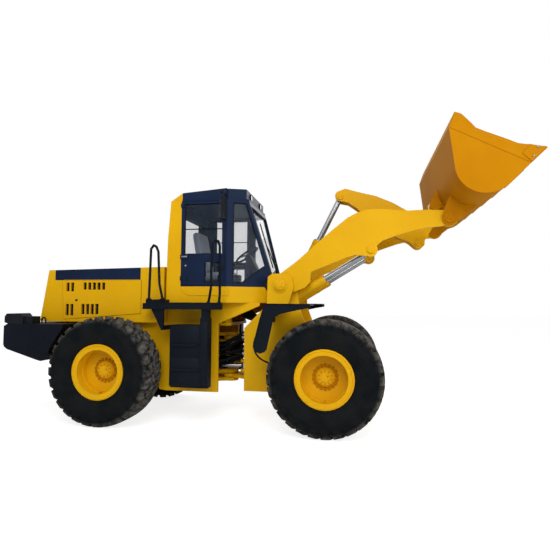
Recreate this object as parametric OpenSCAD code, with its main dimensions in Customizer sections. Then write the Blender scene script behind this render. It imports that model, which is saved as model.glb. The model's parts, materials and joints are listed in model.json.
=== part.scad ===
// Articulated wheel loader with a Z-bar boom. Millimetres, +X forward, +Y left, +Z up.

/* [Wheels] */
// distance between the axles
wheelbase = 3030; // [2800:10:3300]
// distance between the wheel centres across the machine
track = 2050; // [1950:10:2200]
// tyre outside diameter over the lugs
tyre_d = 1480; // [1400:10:1560]
// tyre width
tyre_w = 520; // [460:5:560]
// rim flange diameter
rim_d = 745; // [720:5:800]
// tyre seat diameter on the rim
seat_d = 635; // [600:5:660]
// rim width over the flanges
rim_w = 440; // [400:5:460]
// rim sheet thickness
rim_t = 22; // [14:1:30]
// rim flange thickness
flange_t = 25; // [18:1:32]
// depth of the wheel disc behind the outer flange
hub_recess = 236; // [180:2:270]
// wheel disc thickness
disc_t = 24; // [16:1:32]
// hub boss diameter
hub_d = 250; // [240:5:340]
// axle stub diameter
stub_d = 180; // [150:5:200]
// running clearance on a pin or stub, radial
run_c = 0.05; // [0.02:0.01:0.1]

/* [Axles] */
// axle tube diameter
axle_d = 240; // [200:5:260]
// differential housing diameter
diff_d = 480; // [420:10:500]
// final drive drum diameter
drum_d = 460; // [400:10:500]
// front axle pad height above the axle centre
pad_h = 160; // [140:5:200]

/* [Rear frame] */
// step in from the hood side to the rear frame plates
frame_step = 140; // [100:5:180]
// frame plate thickness
plate_t = 40; // [30:1:50]
// top of the rear frame
frame_top = 1390; // [1340:5:1440]
// underside of the frame beside the pivot
frame_low = 416; // [380:2:460]
// front edge of the rear frame behind the pivot axis
post_back = 30; // [25:1:60]
// rear end of the frame plates behind the pivot axis
frame_rear = 2440; // [2400:10:2500]
// counterweight overall width
cw_w = 2300; // [2200:10:2400]
// rear face of the counterweight behind the pivot axis
cw_rear = 3024; // [2950:2:3100]
// tow pin bore diameter
tow_d = 52; // [40:1:60]

/* [Hood] */
// gap between the hood and the rear tyres
hood_gap = 25; // [15:1:60]
// hood sheet thickness
hood_t = 25; // [15:1:35]
// pitch of the louvre slots
louvre_pitch = 74; // [60:1:90]
// hood door hinge height
hinge_z = 2000; // [1960:5:2040]
// gap round a door
door_gap = 6; // [5:0.5:12]
// hinge barrel diameter of a cab door
barrel_d = 16; // [12:1:20]
// gap at the hinged edge of a door
seat_c = 0.3; // [0.2:0.05:0.5]

/* [Cab] */
// half width of the cab
cab_half = 780; // [740:5:780]
// half width of the cab front
nose_half = 395; // [380:5:450]
// cab floor underside
cab_low = 1680; // [1680:1:1720]
// cab sill height
sill_z = 1905; // [1880:5:1930]
// underside of the roof
eave_z = 3130; // [3080:5:3180]
// roof top
roof_z = 3246; // [3190:2:3270]
// visor top
visor_z = 3304; // [3260:2:3320]
// cab wall thickness
cab_t = 50; // [40:1:60]
// window glass thickness
glass_t = 8; // [5:1:12]
// door rear edge behind the pivot axis
door_back = 541; // [520:1:560]
// door front edge ahead of the pivot axis
door_front = 100; // [80:1:110]
// height of the door window sill
belt_z = 2362; // [2320:2:2400]
// platform outer half width
deck_half = 1010; // [980:5:1030]
// platform top
deck_z = 1670; // [1650:1:1675]
// platform thickness
deck_t = 84; // [60:1:90]
// handrail diameter
rail_d = 34; // [28:1:40]

/* [Front frame] */
// half width over the main front plates
front_half = 560; // [540:5:580]
// rear edge of the front frame ahead of the pivot axis
front_rear = 340; // [330:2:380]
// inner face of the outer tower plates
tower_in = 660; // [655:1:680]
// pivot pin diameter
hinge_d = 100; // [80:2:120]
// hinge ear thickness
ear_t = 50; // [40:1:60]
// gap between hinge ears
ear_gap = 10; // [6:1:15]
// inner edge of the front fenders
fender_in = 790; // [780:5:820]
// fender sheet thickness
fender_t = 14; // [8:1:20]
// fender top height
fender_z = 1665; // [1640:1:1668]

/* [Boom] */
// boom pivot ahead of the frame pivot
ax = 870; // [850:1:890]
// boom pivot height
az = 1932; // [1910:1:1950]
// boom length from pivot to bucket pin
boom_l = 2420; // [2380:5:2460]
// boom angle above level as built
boom_deg = 21.4; // [15:0.1:25]
// inner face of the boom plates
boom_in = 580; // [575:1:590]
// boom plate thickness
boom_t = 60; // [50:1:65]
// boom cross tube diameter
tube_d = 150; // [120:2:160]
// boom pivot pin diameter
pin_a = 120; // [100:2:130]
// bucket and bellcrank pin diameter
pin_b = 100; // [80:2:110]
// link pin diameter
pin_c = 84; // [70:2:90]

/* [Linkage] */
// inner half width between the bellcrank plates
bell_in = 95; // [90:1:105]
// bellcrank plate thickness
bell_t = 35; // [25:1:45]
// lift cylinder barrel diameter
lift_d = 136; // [120:2:140]
// lift cylinder distance from the middle plane
lift_y = 440; // [430:1:445]
// lift rod diameter
lift_rod_d = 80; // [60:2:90]
// tilt cylinder barrel diameter
tilt_d = 156; // [130:2:160]
// tilt rod diameter
tilt_rod_d = 85; // [60:2:90]
// steering cylinder barrel diameter
steer_d = 96; // [80:2:110]
// steering rod diameter
steer_rod_d = 50; // [40:2:60]
// steering cylinder pin diameter
steer_pin = 48; // [40:2:56]

/* [Bucket] */
// bucket width
bucket_w = 2740; // [2600:10:2800]
// bucket floor angle above level as built
bucket_deg = 44; // [30:0.5:50]
// wrapper outer radius
wrap_r = 352; // [320:2:380]
// wrapper sheet thickness
wrap_t = 25; // [16:1:32]
// side plate thickness
side_t = 28; // [20:1:36]
// cutting edge thickness
edge_t = 38; // [30:1:45]
// cutting edge depth
edge_l = 270; // [220:5:300]

/* [Hidden] */
$fn = 48;
yellow = "#e3b80f";
dark = "#1f2740";
black = "#23252a";
steel = "#b8bcc2";
rear_x = -wheelbase / 2;
hood_half = (track - tyre_w) / 2 - hood_gap;
rear_half = hood_half - frame_step;
front_x = wheelbase / 2;
hub_z = tyre_d / 2;
bx = ax + boom_l * cos(boom_deg);
bz = az + boom_l * sin(boom_deg);
b_lx = -1160;
b_lz = 187;
tip_x = bx - b_lx * cos(bucket_deg) + b_lz * sin(bucket_deg);
x_mid = (tip_x - cw_rear) / 2;
g_p = [boom_l - 860, 275];
d_p = [boom_l - 400, -123];
c_p = [boom_l + 12, 298];
e_p = [boom_l - 1180, 955];
k_p = [boom_l - 1100, -7];
f_p = [945, 1810];
h_p = [900, 1676];
tube_p = [boom_l - 1020, 200];
steer_rear = [-520, 330];
steer_front = [270, 270];
steer_z = 760;
k_m = [ax + k_p[0] * cos(boom_deg) - k_p[1] * sin(boom_deg),
  az + k_p[0] * sin(boom_deg) + k_p[1] * cos(boom_deg)];
e_m = [ax + e_p[0] * cos(boom_deg) - e_p[1] * sin(boom_deg),
  az + e_p[0] * sin(boom_deg) + e_p[1] * cos(boom_deg)];
lift_l = norm(k_m - h_p);
lift_a = atan2(k_m[1] - h_p[1], k_m[0] - h_p[0]);
tilt_l = norm(e_m - f_p);
tilt_a = atan2(e_m[1] - f_p[1], e_m[0] - f_p[0]);
steer_l = norm(steer_front - steer_rear);
steer_a = atan2(steer_front[1] - steer_rear[1], steer_front[0] - steer_rear[0]);
hood_rear = 2755;
hood_front = 800;
engine_rear = hood_rear - 505;
hood_slant = 126;
hood_top_rear = 2150;
hood_top_front = 2188;
band_front = 1164;
band_rear = 2525;
hood_low = 1392;
cab_rear_x = -752;
b_pillar = 206;
nose_x = 695;
nose_z = 2110;
sill_front = 604;
eave_front = 405;
visor_front = 365;
fender_front = 1345;
nose_tip = 745;
roof_front = 112;
lift_gland = 665;
tilt_gland = 900;
steer_gland = 480;
tower_x = 835;
shelf_z = 1560;

function cab_plan(i) = [[cab_rear_x + i, -cab_half + i], [130 - i * 0.3, -cab_half + i],
  [nose_tip - i, -nose_half + i * 0.6], [nose_tip - i, nose_half - i * 0.6],
  [130 - i * 0.3, cab_half - i], [cab_rear_x + i, cab_half - i]];
function cab_side(i) = [[cab_rear_x + i, sill_z], [sill_front - i, sill_z], [nose_x - i, nose_z],
  [eave_front - i, eave_z], [-700 + i, eave_z], [cab_rear_x + 12 + i, 2569]];
function hood_side(i) = [[-hood_rear + i, hood_low - 2 * i], [-hood_rear + i, hood_low],
  [-hood_rear + hood_slant + i, hood_top_rear - i], [-hood_front - i, hood_top_front - i],
  [-hood_front - i, hood_low - 2 * i]];

module place() {
  translate([-x_mid, 0, 0]) children();
}

module slab(y0, y1) {
  translate([0, y1, 0]) rotate([90, 0, 0]) linear_extrude(height = y1 - y0) children();
}

module pair(y0, y1) {
  slab(y0, y1) children();
  slab(-y1, -y0) children();
}

module wide(w) {
  slab(-w / 2, w / 2) children();
}

module box(a, b) {
  translate(a) cube(b - a);
}

module box_pair(a, b) {
  box(a, b);
  box([a[0], -b[1], a[2]], [b[0], -a[1], b[2]]);
}

module rod_y(x, z, r, y0, y1) {
  translate([x, y0, z]) rotate([-90, 0, 0]) cylinder(r = r, h = y1 - y0);
}

module rod_y_pair(x, z, r, y0, y1) {
  rod_y(x, z, r, y0, y1);
  rod_y(x, z, r, -y1, -y0);
}

module stick(p, q, r) {
  v = q - p;
  translate(p) rotate([0, acos(v[2] / norm(v)), atan2(v[1], v[0])]) cylinder(r = r, h = norm(v));
}

module bent_tube(pts, r) {
  for (i = [0 : len(pts) - 2]) {
    hull() {
      translate(pts[i]) sphere(r = r, $fn = 14);
      translate(pts[i + 1]) sphere(r = r, $fn = 14);
    }
  }
}

module boom_frame() {
  translate([ax, 0, az]) rotate([0, -boom_deg, 0]) children();
}

module bucket_frame() {
  translate([bx, 0, bz]) rotate([0, -bucket_deg, 0]) translate([-b_lx, 0, -b_lz]) children();
}

module lift_frame(side) {
  translate([h_p[0], side * lift_y, h_p[1]]) rotate([0, 90 - lift_a, 0]) children();
}

module tilt_frame() {
  translate([f_p[0], 0, f_p[1]]) rotate([0, 90 - tilt_a, 0]) children();
}

module steer_frame(side) {
  translate([steer_rear[0], side * steer_rear[1], steer_z]) rotate([0, 0, side * steer_a])
    rotate([0, 90, 0]) children();
}

module wheel_frame(x, side) {
  translate([x, side * track / 2, hub_z]) rotate([-90 * side, 0, 0]) children();
}

module frame_hinge_ear(z, reach, w) {
  translate([0, 0, z]) linear_extrude(height = ear_t) {
    polygon([[reach, -w], [reach, w], [sign(reach) * 40, 105], [sign(reach) * 40, -105]]);
    circle(r = 115);
  }
}

upper_z = 1120;
lower_z = 560;

module rear_plate_side() {
  polygon([[-post_back, frame_low], [-post_back, frame_top - 5], [10, frame_top + 10],
    [565, 1638], [565, cab_low], [-hood_front + 2, cab_low], [-hood_front + 2, frame_top],
    [-frame_rear, frame_top], [-frame_rear, 700], [rear_x - 435, 700], [rear_x - 385, 1000],
    [rear_x + 385, 1000], [rear_x + 465, 700], [-900, frame_low + 14], [-800, frame_low]]);
}

module rear_frame() {
  inner = rear_half - plate_t;
  color(yellow) place() difference() {
    union() {
      pair(inner, rear_half) rear_plate_side();
      box([-600, -inner, 440], [-600 + plate_t, inner, frame_top]);
      box([rear_x - 335, -inner, 560], [rear_x - 300, inner, 1060]);
      box([rear_x + 300, -inner, 560], [rear_x + 335, inner, 1060]);
      box([-frame_rear, -inner, 700], [-frame_rear + plate_t, inner, frame_top]);
      box([rear_x - 785, -inner, 1010], [rear_x - 685, inner, 1060]);
      box([rear_x + 115, -inner, 1010], [rear_x + 215, inner, 1060]);
      box([-560, -inner, frame_top - 40], [-60, inner, frame_top]);
      for (z = [upper_z, lower_z]) {
        frame_hinge_ear(z + ear_t + ear_gap, -560, 380);
        frame_hinge_ear(z - ear_t - ear_gap, -560, 380);
        translate([0, 0, z - ear_t - ear_gap]) cylinder(d = hinge_d, h = 3 * ear_t + 2 * ear_gap);
      }
      for (s = [-1, 1]) {
        for (z = [steer_z - 90, steer_z + 50]) {
          translate([steer_rear[0], s * steer_rear[1], z]) cylinder(r = 60, h = 40);
          box([-560, s * steer_rear[1] - 60, z], [steer_rear[0], s * steer_rear[1] + 60, z + 40]);
        }
        translate([steer_rear[0], s * steer_rear[1], steer_z - 90]) cylinder(d = steer_pin, h = 180);
      }
      for (x = [-600, 60], s = [-1, 1]) {
        translate([x, s * 430, frame_top]) cylinder(r = 60, h = cab_low - frame_top);
      }
      box([-700, -inner, frame_top - 40], [-600, inner, frame_top]);
      box([0, -490, frame_top - 40], [120, 490, frame_top]);
      box([-60, -490, frame_top - 40], [0, 490, frame_top]);
    }
    for (x = [rear_x - 340, rear_x + 295]) {
      translate([x, 0, hub_z]) rotate([0, 90, 0]) cylinder(d = 160 + 2 * run_c, h = 45);
    }
    translate([-610, 0, hub_z]) rotate([0, 90, 0]) cylinder(r = 110, h = 60);
  }
}

module counterweight() {
  color(black) place() difference() {
    union() {
      wide(cw_w) polygon([[-cw_rear, 1331], [-cw_rear, 1075], [-cw_rear + 15, 1040], [-cw_rear + 60, 1008],
        [-frame_rear - 60, 870], [-frame_rear + 10, 853], [rear_x - 815, 950], [rear_x - 775, 1050],
        [rear_x - 600, 1310], [rear_x - 580, 1368], [-cw_rear + 60, 1368]]);
      box([-cw_rear + 40, -130, 780], [-cw_rear + 420, 130, 840]);
      box([-cw_rear + 200, -130, 830], [-cw_rear + 420, 130, 1000]);
    }
    box([-frame_rear - 0.3, -rear_half - 5, 600], [-1900, rear_half + 5, 1500]);
    translate([-cw_rear + 120, 0, 760]) cylinder(d = tow_d, h = 100);
  }
}

module tail_lamps() {
  r = -cw_rear;
  color("#7d1f1a") place() for (s = [0, 1]) mirror([0, s, 0]) {
    slab(cw_w / 2 - 200, cw_w / 2) polygon([[r + 60, 1368], [r + 8, 1385], [r + 8, 1470], [r + 40, 1508],
      [r + 260, 1514],
      [r + 300, 1470], [r + 300, 1368]]);
    box([r + 300, cw_w / 2 - 210, 1368], [r + 420, cw_w / 2 - 30, 1470]);
  }
}

module engine_block() {
  color("#6a6e70") place() union() {
    box([-engine_rear, 200 - rear_half, 1060], [rear_x + 215, rear_half - 200, 1480]);
    box([35 - engine_rear, 300 - rear_half, 1480], [rear_x + 180, rear_half - 300, 1900]);
  }
}

module hood_solid(i) {
  wide(2 * (hood_half - i)) polygon(hood_side(i));
}

module hood_skin() {
  difference() {
    hood_solid(0);
    hood_solid(hood_t);
  }
}

grille_half = hood_half - 180;
grille_low = 1480;
grille_high = 1940;

module grille_zone(g) {
  box([-hood_rear - 50, -grille_half - g, grille_low - g],
    [-hood_rear + 160, grille_half + g, grille_high + g]);
}

module rear_grille() {
  color(black) place() difference() {
    intersection() {
      hood_skin();
      grille_zone(0);
    }
    for (z = [grille_low + 45 : 52 : grille_high - 40]) {
      for (s = [-1, 1]) {
        box([-hood_rear - 50, s * 275 - 240, z], [-hood_rear + 160, s * 275 + 240, z + 26]);
      }
    }
  }
}

module hood_door_shape(g) {
  top = hinge_z - (g > 0 ? 0 : seat_c);
  polygon([[-2367 - g, 1425 - g], [-1151 + g, 1519 - g], [-1151 + g, top], [-2400 - g, top]]);
}

module band_zone() {
  box([-band_rear, -hood_half - 5, hinge_z], [-band_front, hood_half + 5, 2300]);
}

module hood_shell() {
  color(yellow) place() difference() {
    union() {
      hood_skin();
      box_pair([-hood_rear + 20, rear_half - 30, hood_low - 2], [-hood_front, hood_half, hood_low + 20]);
    }
    box([-hood_rear - 60, -hood_half - 5, 1200], [-hood_front + 5, hood_half + 5, frame_top]);
    band_zone();
    grille_zone(0);
    pair(hood_half - hood_t - 20, hood_half + 20) hood_door_shape(door_gap);
    box([-hood_front - 40, -400, 1500], [-hood_front + 5, 400, 1640]);
  }
}

module hood_top() {
  color(dark) place() intersection() {
    hood_skin();
    band_zone();
  }
}

module louvre(x, z, n, h) {
  for (i = [0 : n - 1]) {
    translate([x + i * louvre_pitch, z]) square([louvre_pitch - 20, h]);
  }
}

module hood_door(side) {
  y0 = hood_half - hood_t;
  y1 = hood_half + 5;
  color(yellow) place() union() {
    slab(min(side * y0, side * y1), max(side * y0, side * y1)) difference() {
      hood_door_shape(0);
      louvre(-2339, 1835, 2, 130);
      louvre(-2062, 1860, 5, 105);
      louvre(-2340, 1478, 2, 170);
      louvre(-2086, 1500, 4, 150);
    }
    translate([-2380, side * y1, hinge_z]) rotate([0, 90, 0]) cylinder(r = 5 - seat_c, h = 1210);
  }
}

module cab_solid(i) {
  intersection() {
    translate([0, 0, sill_z - i]) linear_extrude(height = eave_z - sill_z + 2 * i) polygon(cab_plan(i));
    wide(3000) polygon(cab_side(i));
  }
}

module cab_inside(i) {
  intersection() {
    translate([0, 0, sill_z - 5]) linear_extrude(height = eave_z - sill_z + 10) polygon(cab_plan(i));
    wide(3000) polygon([[cab_rear_x + i, sill_z - 5], [sill_front - i, sill_z - 5],
      [nose_x - i, nose_z], [eave_front - i, eave_z + 5], [-700 + i, eave_z + 5],
        [cab_rear_x + 12 + i, 2569]]);
  }
}

module quarter_window() {
  slab(-3000, 3000) polygon([[b_pillar, sill_z + 52], [314, sill_z + 52], [nose_x - 82, sill_z + 308],
    [eave_front - 36, eave_z - 40],
    [b_pillar, eave_z - 40]]);
}

module cab_openings() {
  slab(-3000, 3000) polygon([[-door_back, sill_z + 6], [door_front, sill_z + 6], [door_front, eave_z - 12],
    [-door_back, eave_z - 12]]);
  quarter_window();
}

module screen_zone() {
  translate([300, 0, 0]) rotate([90, 0, 90]) linear_extrude(height = 500)
    polygon([[-340, 2010], [340, 2010], [nose_half - 12, 2160], [540, eave_z - 75], [-540, eave_z - 75],
      [12 - nose_half, 2160]]);
}

module rear_window_zone() {
  box([cab_rear_x - 50, -520, 2280], [cab_rear_x + 100, 520, 2980]);
}

module cab_skin() {
  difference() {
    cab_solid(0);
    cab_inside(cab_t);
  }
}

module cab_base() {
  color(yellow) place() difference() {
    translate([0, 0, cab_low]) linear_extrude(height = sill_z - cab_low) polygon(cab_plan(0));
    translate([0, 0, cab_low + 40]) linear_extrude(height = sill_z - cab_low) polygon(cab_plan(cab_t));
    wide(3000) polygon([[sill_front, sill_z + 5], [nose_tip - 60, cab_low + 60], [nose_tip - 60, cab_low - 5],
      [nose_tip + 50, cab_low - 5], [nose_tip + 50, sill_z + 5]]);
  }
}

module cab_rear() {
  color(yellow) place() union() {
    difference() {
      intersection() {
        cab_skin();
        box([cab_rear_x - 50, -1000, sill_z], [-door_back, 1000, eave_z]);
      }
      rear_window_zone();
    }
    wide(2 * cab_half - 60) polygon([[-door_back - 150, eave_z - 12], [-door_back - 146, eave_z + 17],
      [-door_back, roof_z - 2], [-door_back, eave_z - 12]]);
  }
}

module cab_frame() {
  color(dark) place() difference() {
    intersection() {
      cab_skin();
      box([-door_back, -1000, sill_z], [1000, 1000, eave_z]);
    }
    cab_openings();
    screen_zone();
  }
}

module cab_roof() {
  color(dark) place() union() {
    wide(2 * cab_half - 60) polygon([[-door_back, eave_z], [roof_front, eave_z], [roof_front, visor_z - 6],
      [-door_back, roof_z]]);
    translate([0, 0, eave_z]) linear_extrude(height = visor_z - eave_z)
      polygon([[roof_front, -690], [visor_front, -600], [visor_front, 600], [roof_front, 690]]);
    translate([0, 0, eave_z]) linear_extrude(height = 34)
      polygon([[roof_front, -690], [eave_front - 4, -585], [eave_front - 4, 585], [roof_front, 690]]);
    for (s = [-1, 1]) {
      translate([visor_front, s * 330, eave_z + 102]) rotate([0, 90, 0]) cylinder(r = 50, h = 8);
    }
  }
}

module cab_pane() {
  difference() {
    cab_solid(20);
    cab_inside(20 + glass_t);
  }
}

module cab_glass() {
  color("#3a4a55") place() union() {
    intersection() {
      cab_pane();
      quarter_window();
      box([b_pillar, -1000, 1900], [1000, 1000, 3200]);
    }
    intersection() {
      cab_pane();
      screen_zone();
    }
    intersection() {
      cab_pane();
      rear_window_zone();
    }
  }
}

module cab_door(side) {
  y0 = cab_half - cab_t;
  y1 = cab_half;
  g = door_gap;
  color(dark) place() union() {
    slab(min(side * y0, side * y1), max(side * y0, side * y1)) difference() {
      polygon([[-door_back + seat_c, sill_z + 6 + g], [door_front - g, sill_z + 6 + g],
        [door_front - g, eave_z - 12 - g], [-door_back + seat_c, eave_z - 12 - g]]);
      door_window();
    }
    for (z = [1990, 2295, 3030]) {
      translate([-door_back, side * (y1 + barrel_d / 2 + seat_c), z]) cylinder(d = barrel_d, h = 60);
      slab(min(side * (y1 - 2), side * (y1 + barrel_d)), max(side * (y1 - 2), side * (y1 + barrel_d)))
        translate([-door_back + seat_c, z]) square([z > belt_z ? 45 : 100, 60]);
    }
  }
}

module door_window() {
  polygon([[-door_back + 50, belt_z], [door_front - 35, belt_z], [door_front - 35, eave_z - 50],
    [-door_back + 50, eave_z - 50]]);
  polygon([[-192, sill_z + 56], [door_front - 81, sill_z + 56], [door_front - 81, belt_z - 109],
    [-192, belt_z - 109]]);
}

module door_glass(side) {
  y0 = cab_half - 30;
  y1 = y0 + glass_t;
  color("#3a4a55") place() slab(min(side * y0, side * y1), max(side * y0, side * y1)) door_window();
}

module cab_seat() {
  color("#2c2f36") place() union() {
    box([-420, -200, cab_low + 40], [-60, 200, 2010]);
    box([-470, -270, 2010], [40, 270, 2130]);
    wide(500) polygon([[-470, 2130], [-350, 2130], [-470, 2760], [-580, 2760]]);
    box_pair([-400, 250, 2130], [-330, 300, 2300]);
    box_pair([-400, 250, 2300], [-40, 320, 2350]);
  }
}

module steering_column() {
  color("#2a2d33") place() union() {
    wide(220) polygon([[360, cab_low + 40], [500, cab_low + 40], [470, 2100], [299, 2416], [217, 2358],
      [380, 2050]]);
    translate([235, 0, 2420]) rotate([0, -35, 0]) union() {
      rotate_extrude() translate([190, 0]) circle(r = 16, $fn = 20);
      translate([0, 0, -60]) cylinder(r = 40, h = 66);
      for (a = [0, 120, 240]) {
        rotate([0, 0, a]) rotate([0, 90, 0]) cylinder(r = 11, h = 190);
      }
    }
    wide(760) polygon([[450, cab_low + 40], [530, cab_low + 40], [522, sill_z], [500, 2080], [440, 2110]]);
  }
}

module platform_plan() {
  polygon([[-996, hood_half + 4], [-hood_front + 3, hood_half + 4], [-hood_front + 3, rear_half],
    [25, rear_half], [80, cab_half + 6], [130, deck_half - 15], [110, deck_half], [-996, deck_half]]);
}

module platforms() {
  color(black) place() for (s = [0, 1]) mirror([0, s, 0]) {
    translate([0, 0, deck_z - deck_t]) linear_extrude(height = deck_t) platform_plan();
    slab(deck_half - 60, deck_half - 30) polygon([[-880, deck_z - deck_t], [-700, deck_z - deck_t],
      [-700, 1300],
      [-730, 1300]]);
    box([-730, rear_half, 1300], [-700, deck_half - 30, 1360]);
    box([-960, cab_half + 6, deck_z], [-700, deck_half - 20, deck_z + 50]);
  }
}

module handrails() {
  r = rail_d / 2;
  color(black) place() for (s = [-1, 1]) {
    bent_tube([[-915, s * 985, deck_z + 50 + r], [-898, s * 985, 2420], [-860, s * 985, 2470],
      [-820, s * 985, 2450], [-790, s * 985, 2380], [-765, s * 985, 1930],
        [-720, s * 985, deck_z + 50 + r]], r);
    bent_tube([[-60, s * 985, deck_z + r], [-45, s * 1000, 1725], [24, s * 1140, 1880], [28, s * 1140, 2440],
      [50, s * 1120, 2500], [95, s * 1075, 2500], [112, s * 1058, 2440], [100, s * 990, 1800],
        [90, s * 985, deck_z + r]], r);
  }
}

module step_boxes() {
  color(black) place() for (s = [0, 1]) mirror([0, s, 0]) {
    slab(700, 1000) polygon([[-594, 560], [-570, 535], [-170, 535], [-170, 1372], [-594, 1372]]);
    box([-170, 850, 535], [-52, 1000, 1440]);
    rod_y(-111, 1440, 59, 850, 1000);
    box([-160, 860, 1440], [-62, 980, deck_z - deck_t]);
    box([-560, 1000, 760], [-190, 1035, 790]);
    box([-560, 1000, 1090], [-190, 1035, 1120]);
    box([-520, rear_half, 1240], [-250, 700, 1290]);
    box([-520, rear_half, 700], [-250, 700, 750]);
  }
}

module mirrors() {
  color(black) place() union() {
    box_pair([roof_front - 30, cab_half - 30, eave_z + 60], [roof_front - 6, 972, eave_z + 84]);
    box_pair([roof_front - 30, 948, eave_z + 60], [roof_front + 30, 972, eave_z + 84]);
    box_pair([roof_front + 6, 948, 3080], [roof_front + 30, 972, eave_z + 84]);
    box_pair([roof_front, 865, 2815], [roof_front + 35, 1055, 3110]);
  }
}

module axle_turn(inner_r) {
  rotate([90, 0, 0]) rotate_extrude($fn = 48)
    polygon([[0, -1], [0, track / 2 - 23], [stub_d / 2, track / 2 - 23], [stub_d / 2, track / 2 - 70],
      [drum_d / 2 - 30, track / 2 - 70], [drum_d / 2, track / 2 - 100], [drum_d / 2, track / 2 - 260],
      [drum_d / 2 - 40, track / 2 - 300], [axle_d / 2, track / 2 - 320], [axle_d / 2, 340],
      [inner_r, 150], [inner_r, -1]]);
}

module axle() {
  axle_turn(diff_d / 2);
  mirror([0, 1, 0]) axle_turn(diff_d / 2);
}

module rear_axle() {
  color("#8d6f10") place() translate([rear_x, 0, hub_z]) union() {
    axle();
    translate([-345, 0, 0]) rotate([0, 90, 0]) cylinder(d = 160, h = 690);
  }
}

module front_axle() {
  color("#8d6f10") place() translate([front_x, 0, hub_z]) union() {
    axle();
    for (s = [-1, 1]) {
      box([-150, s * (front_half - plate_t / 2) - 45, 40], [150, s * (front_half - plate_t / 2) + 45, pad_h]);
    }
    translate([-360, 0, 0]) rotate([0, 90, 0]) cylinder(r = 85, h = 200);
    translate([75 - front_x, 0, 0]) rotate([0, 90, 0]) cylinder(r = 45, h = front_x - 400);
    translate([45 - front_x, 0, 0]) rotate([0, 90, 0]) cylinder(r = 30, h = 100);
  }
}

module prop_shaft() {
  color("#55585c") place() translate([0, 0, hub_z]) union() {
    translate([rear_x + 345, 0, 0]) rotate([0, 90, 0]) cylinder(r = 45, h = -rear_x - 345 - 60);
    translate([-150, 0, 0]) rotate([0, 90, 0]) cylinder(r = 70, h = 90);
    sphere(r = 40);
    translate([-80, 0, 0]) rotate([0, 90, 0]) cylinder(r = 30, h = 80);
  }
}

module rim(x, side) {
  o = rim_w / 2;
  d = o - hub_recess;
  s = seat_d / 2;
  color("#e6b20c") place() wheel_frame(x, side) rotate_extrude()
    polygon([[0, d + 36], [hub_d / 2 - 20, d + 36], [hub_d / 2, d + 16], [hub_d / 2, d], [s - rim_t, d],
      [s - rim_t, o], [rim_d / 2, o], [rim_d / 2, o - flange_t], [s, o - flange_t], [s, flange_t - o],
      [rim_d / 2, flange_t - o], [rim_d / 2, -o], [s - rim_t, -o], [s - rim_t, d - disc_t],
      [hub_d / 2, d - disc_t], [hub_d / 2, -63], [stub_d / 2 + run_c, -63], [stub_d / 2 + run_c, -20],
        [0, -20]]);
}

module tyre(x, side) {
  t = tyre_d / 2;
  w = tyre_w / 2;
  s = seat_d / 2;
  b = rim_w / 2 - flange_t;
  f = rim_d / 2 + 4;
  color("#26272a") place() wheel_frame(x, side) rotate_extrude()
    polygon([[s, -b], [f, -b], [f, -b - 32], [f + 60, -w + 8], [t - 180, -w], [t - 80, -w + 8],
      [t - 22, -w + 32],
      [t, -w + 66], [t, w - 66], [t - 22, w - 32], [t - 80, w - 8], [t - 180, w], [f + 60, w - 8],
        [f, b + 32],
      [f, b], [s, b]]);
}

module front_plate_side() {
  polygon([[front_rear, 440], [front_rear, 1322], [650, 1640], [690, 1700], [700, az + 108], [760, az + 153],
    [960, az + 153], [1040, az + 98], [1090, az - 32], [1130, 1600], [1260, 1240], [1500, 1130], [1650, 1050],
    [1700, 950], [1700, hub_z + pad_h], [1320, hub_z + pad_h], [1240, 700], [1060, 470], [960, 440]]);
}

module tower_side() {
  polygon([[690, 1640], [700, az + 108], [760, az + 153], [960, az + 153], [1040, az + 98], [1060, az - 32],
    [1000, 1700], [900, 1560], [760, 1500], [700, 1540]]);
}

module base_ear(p, r) {
  polygon([[tower_x + 15, p[1] - 70], [p[0], p[1] - r], [p[0], p[1] + r], [tower_x + 15, p[1] + 20]]);
  translate(p) circle(r = r);
}

module front_frame() {
  inner = front_half - plate_t;
  color(yellow) place() difference() {
    union() {
      pair(inner, front_half) front_plate_side();
      pair(tower_in, tower_in + plate_t) tower_side();
      box_pair([690, front_half, 1640], [722, tower_in, az + 60]);
      box_pair([740, front_half, 1505], [860, tower_in, 1540]);
      rod_y_pair(ax, az, pin_a / 2, inner, tower_in + plate_t + 25);
      rod_y_pair(ax, az, 105, tower_in + plate_t, tower_in + plate_t + 14);
      box([front_rear, -inner, 440], [front_rear + plate_t, inner, 1322]);
      box([700, -inner, 1250], [730, inner, shelf_z]);
      box([700, -inner, shelf_z - 30], [tower_x + 25, inner, shelf_z]);
      box([tower_x, 78 - lift_y, shelf_z - 30], [tower_x + 25, lift_y - 78, f_p[1] + 20]);
      box([front_x + 130, -inner, hub_z + diff_d / 2 - 30], [front_x + 160, inner, hub_z + diff_d / 2]);
      box([front_rear, -inner, 1290], [720, inner, 1322]);
      for (z = [upper_z, lower_z]) {
        frame_hinge_ear(z, front_rear, 330);
      }
      for (s = [-1, 1], z = [steer_z - 90, steer_z + 50]) {
        translate([steer_front[0], s * steer_front[1], z]) cylinder(r = 50, h = 40);
        box([steer_front[0], s * steer_front[1] - 50, z], [front_rear, s * steer_front[1] + 50, z + 40]);
      }
      pair(bell_in - 5, bell_in + 35) base_ear(f_p, 95);
      pair(lift_y - 110, lift_y - 80) base_ear(h_p, 90);
      rod_y(f_p[0], f_p[1], 45, -bell_in - 45, bell_in + 45);
      rod_y_pair(h_p[0], h_p[1], 40, lift_y - 110, inner);
    }
    for (z = [upper_z, lower_z]) {
      translate([0, 0, z - 1]) cylinder(d = hinge_d + 2 * run_c, h = ear_t + 2);
    }
    translate([front_rear - 10, 0, hub_z]) rotate([0, 90, 0]) cylinder(r = 120, h = 60);
    box_pair([front_rear - 5, steer_front[1] - 95, steer_z - 48],
      [front_rear + plate_t + 5, steer_front[1] + 95, steer_z + 48]);
  }
}

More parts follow.
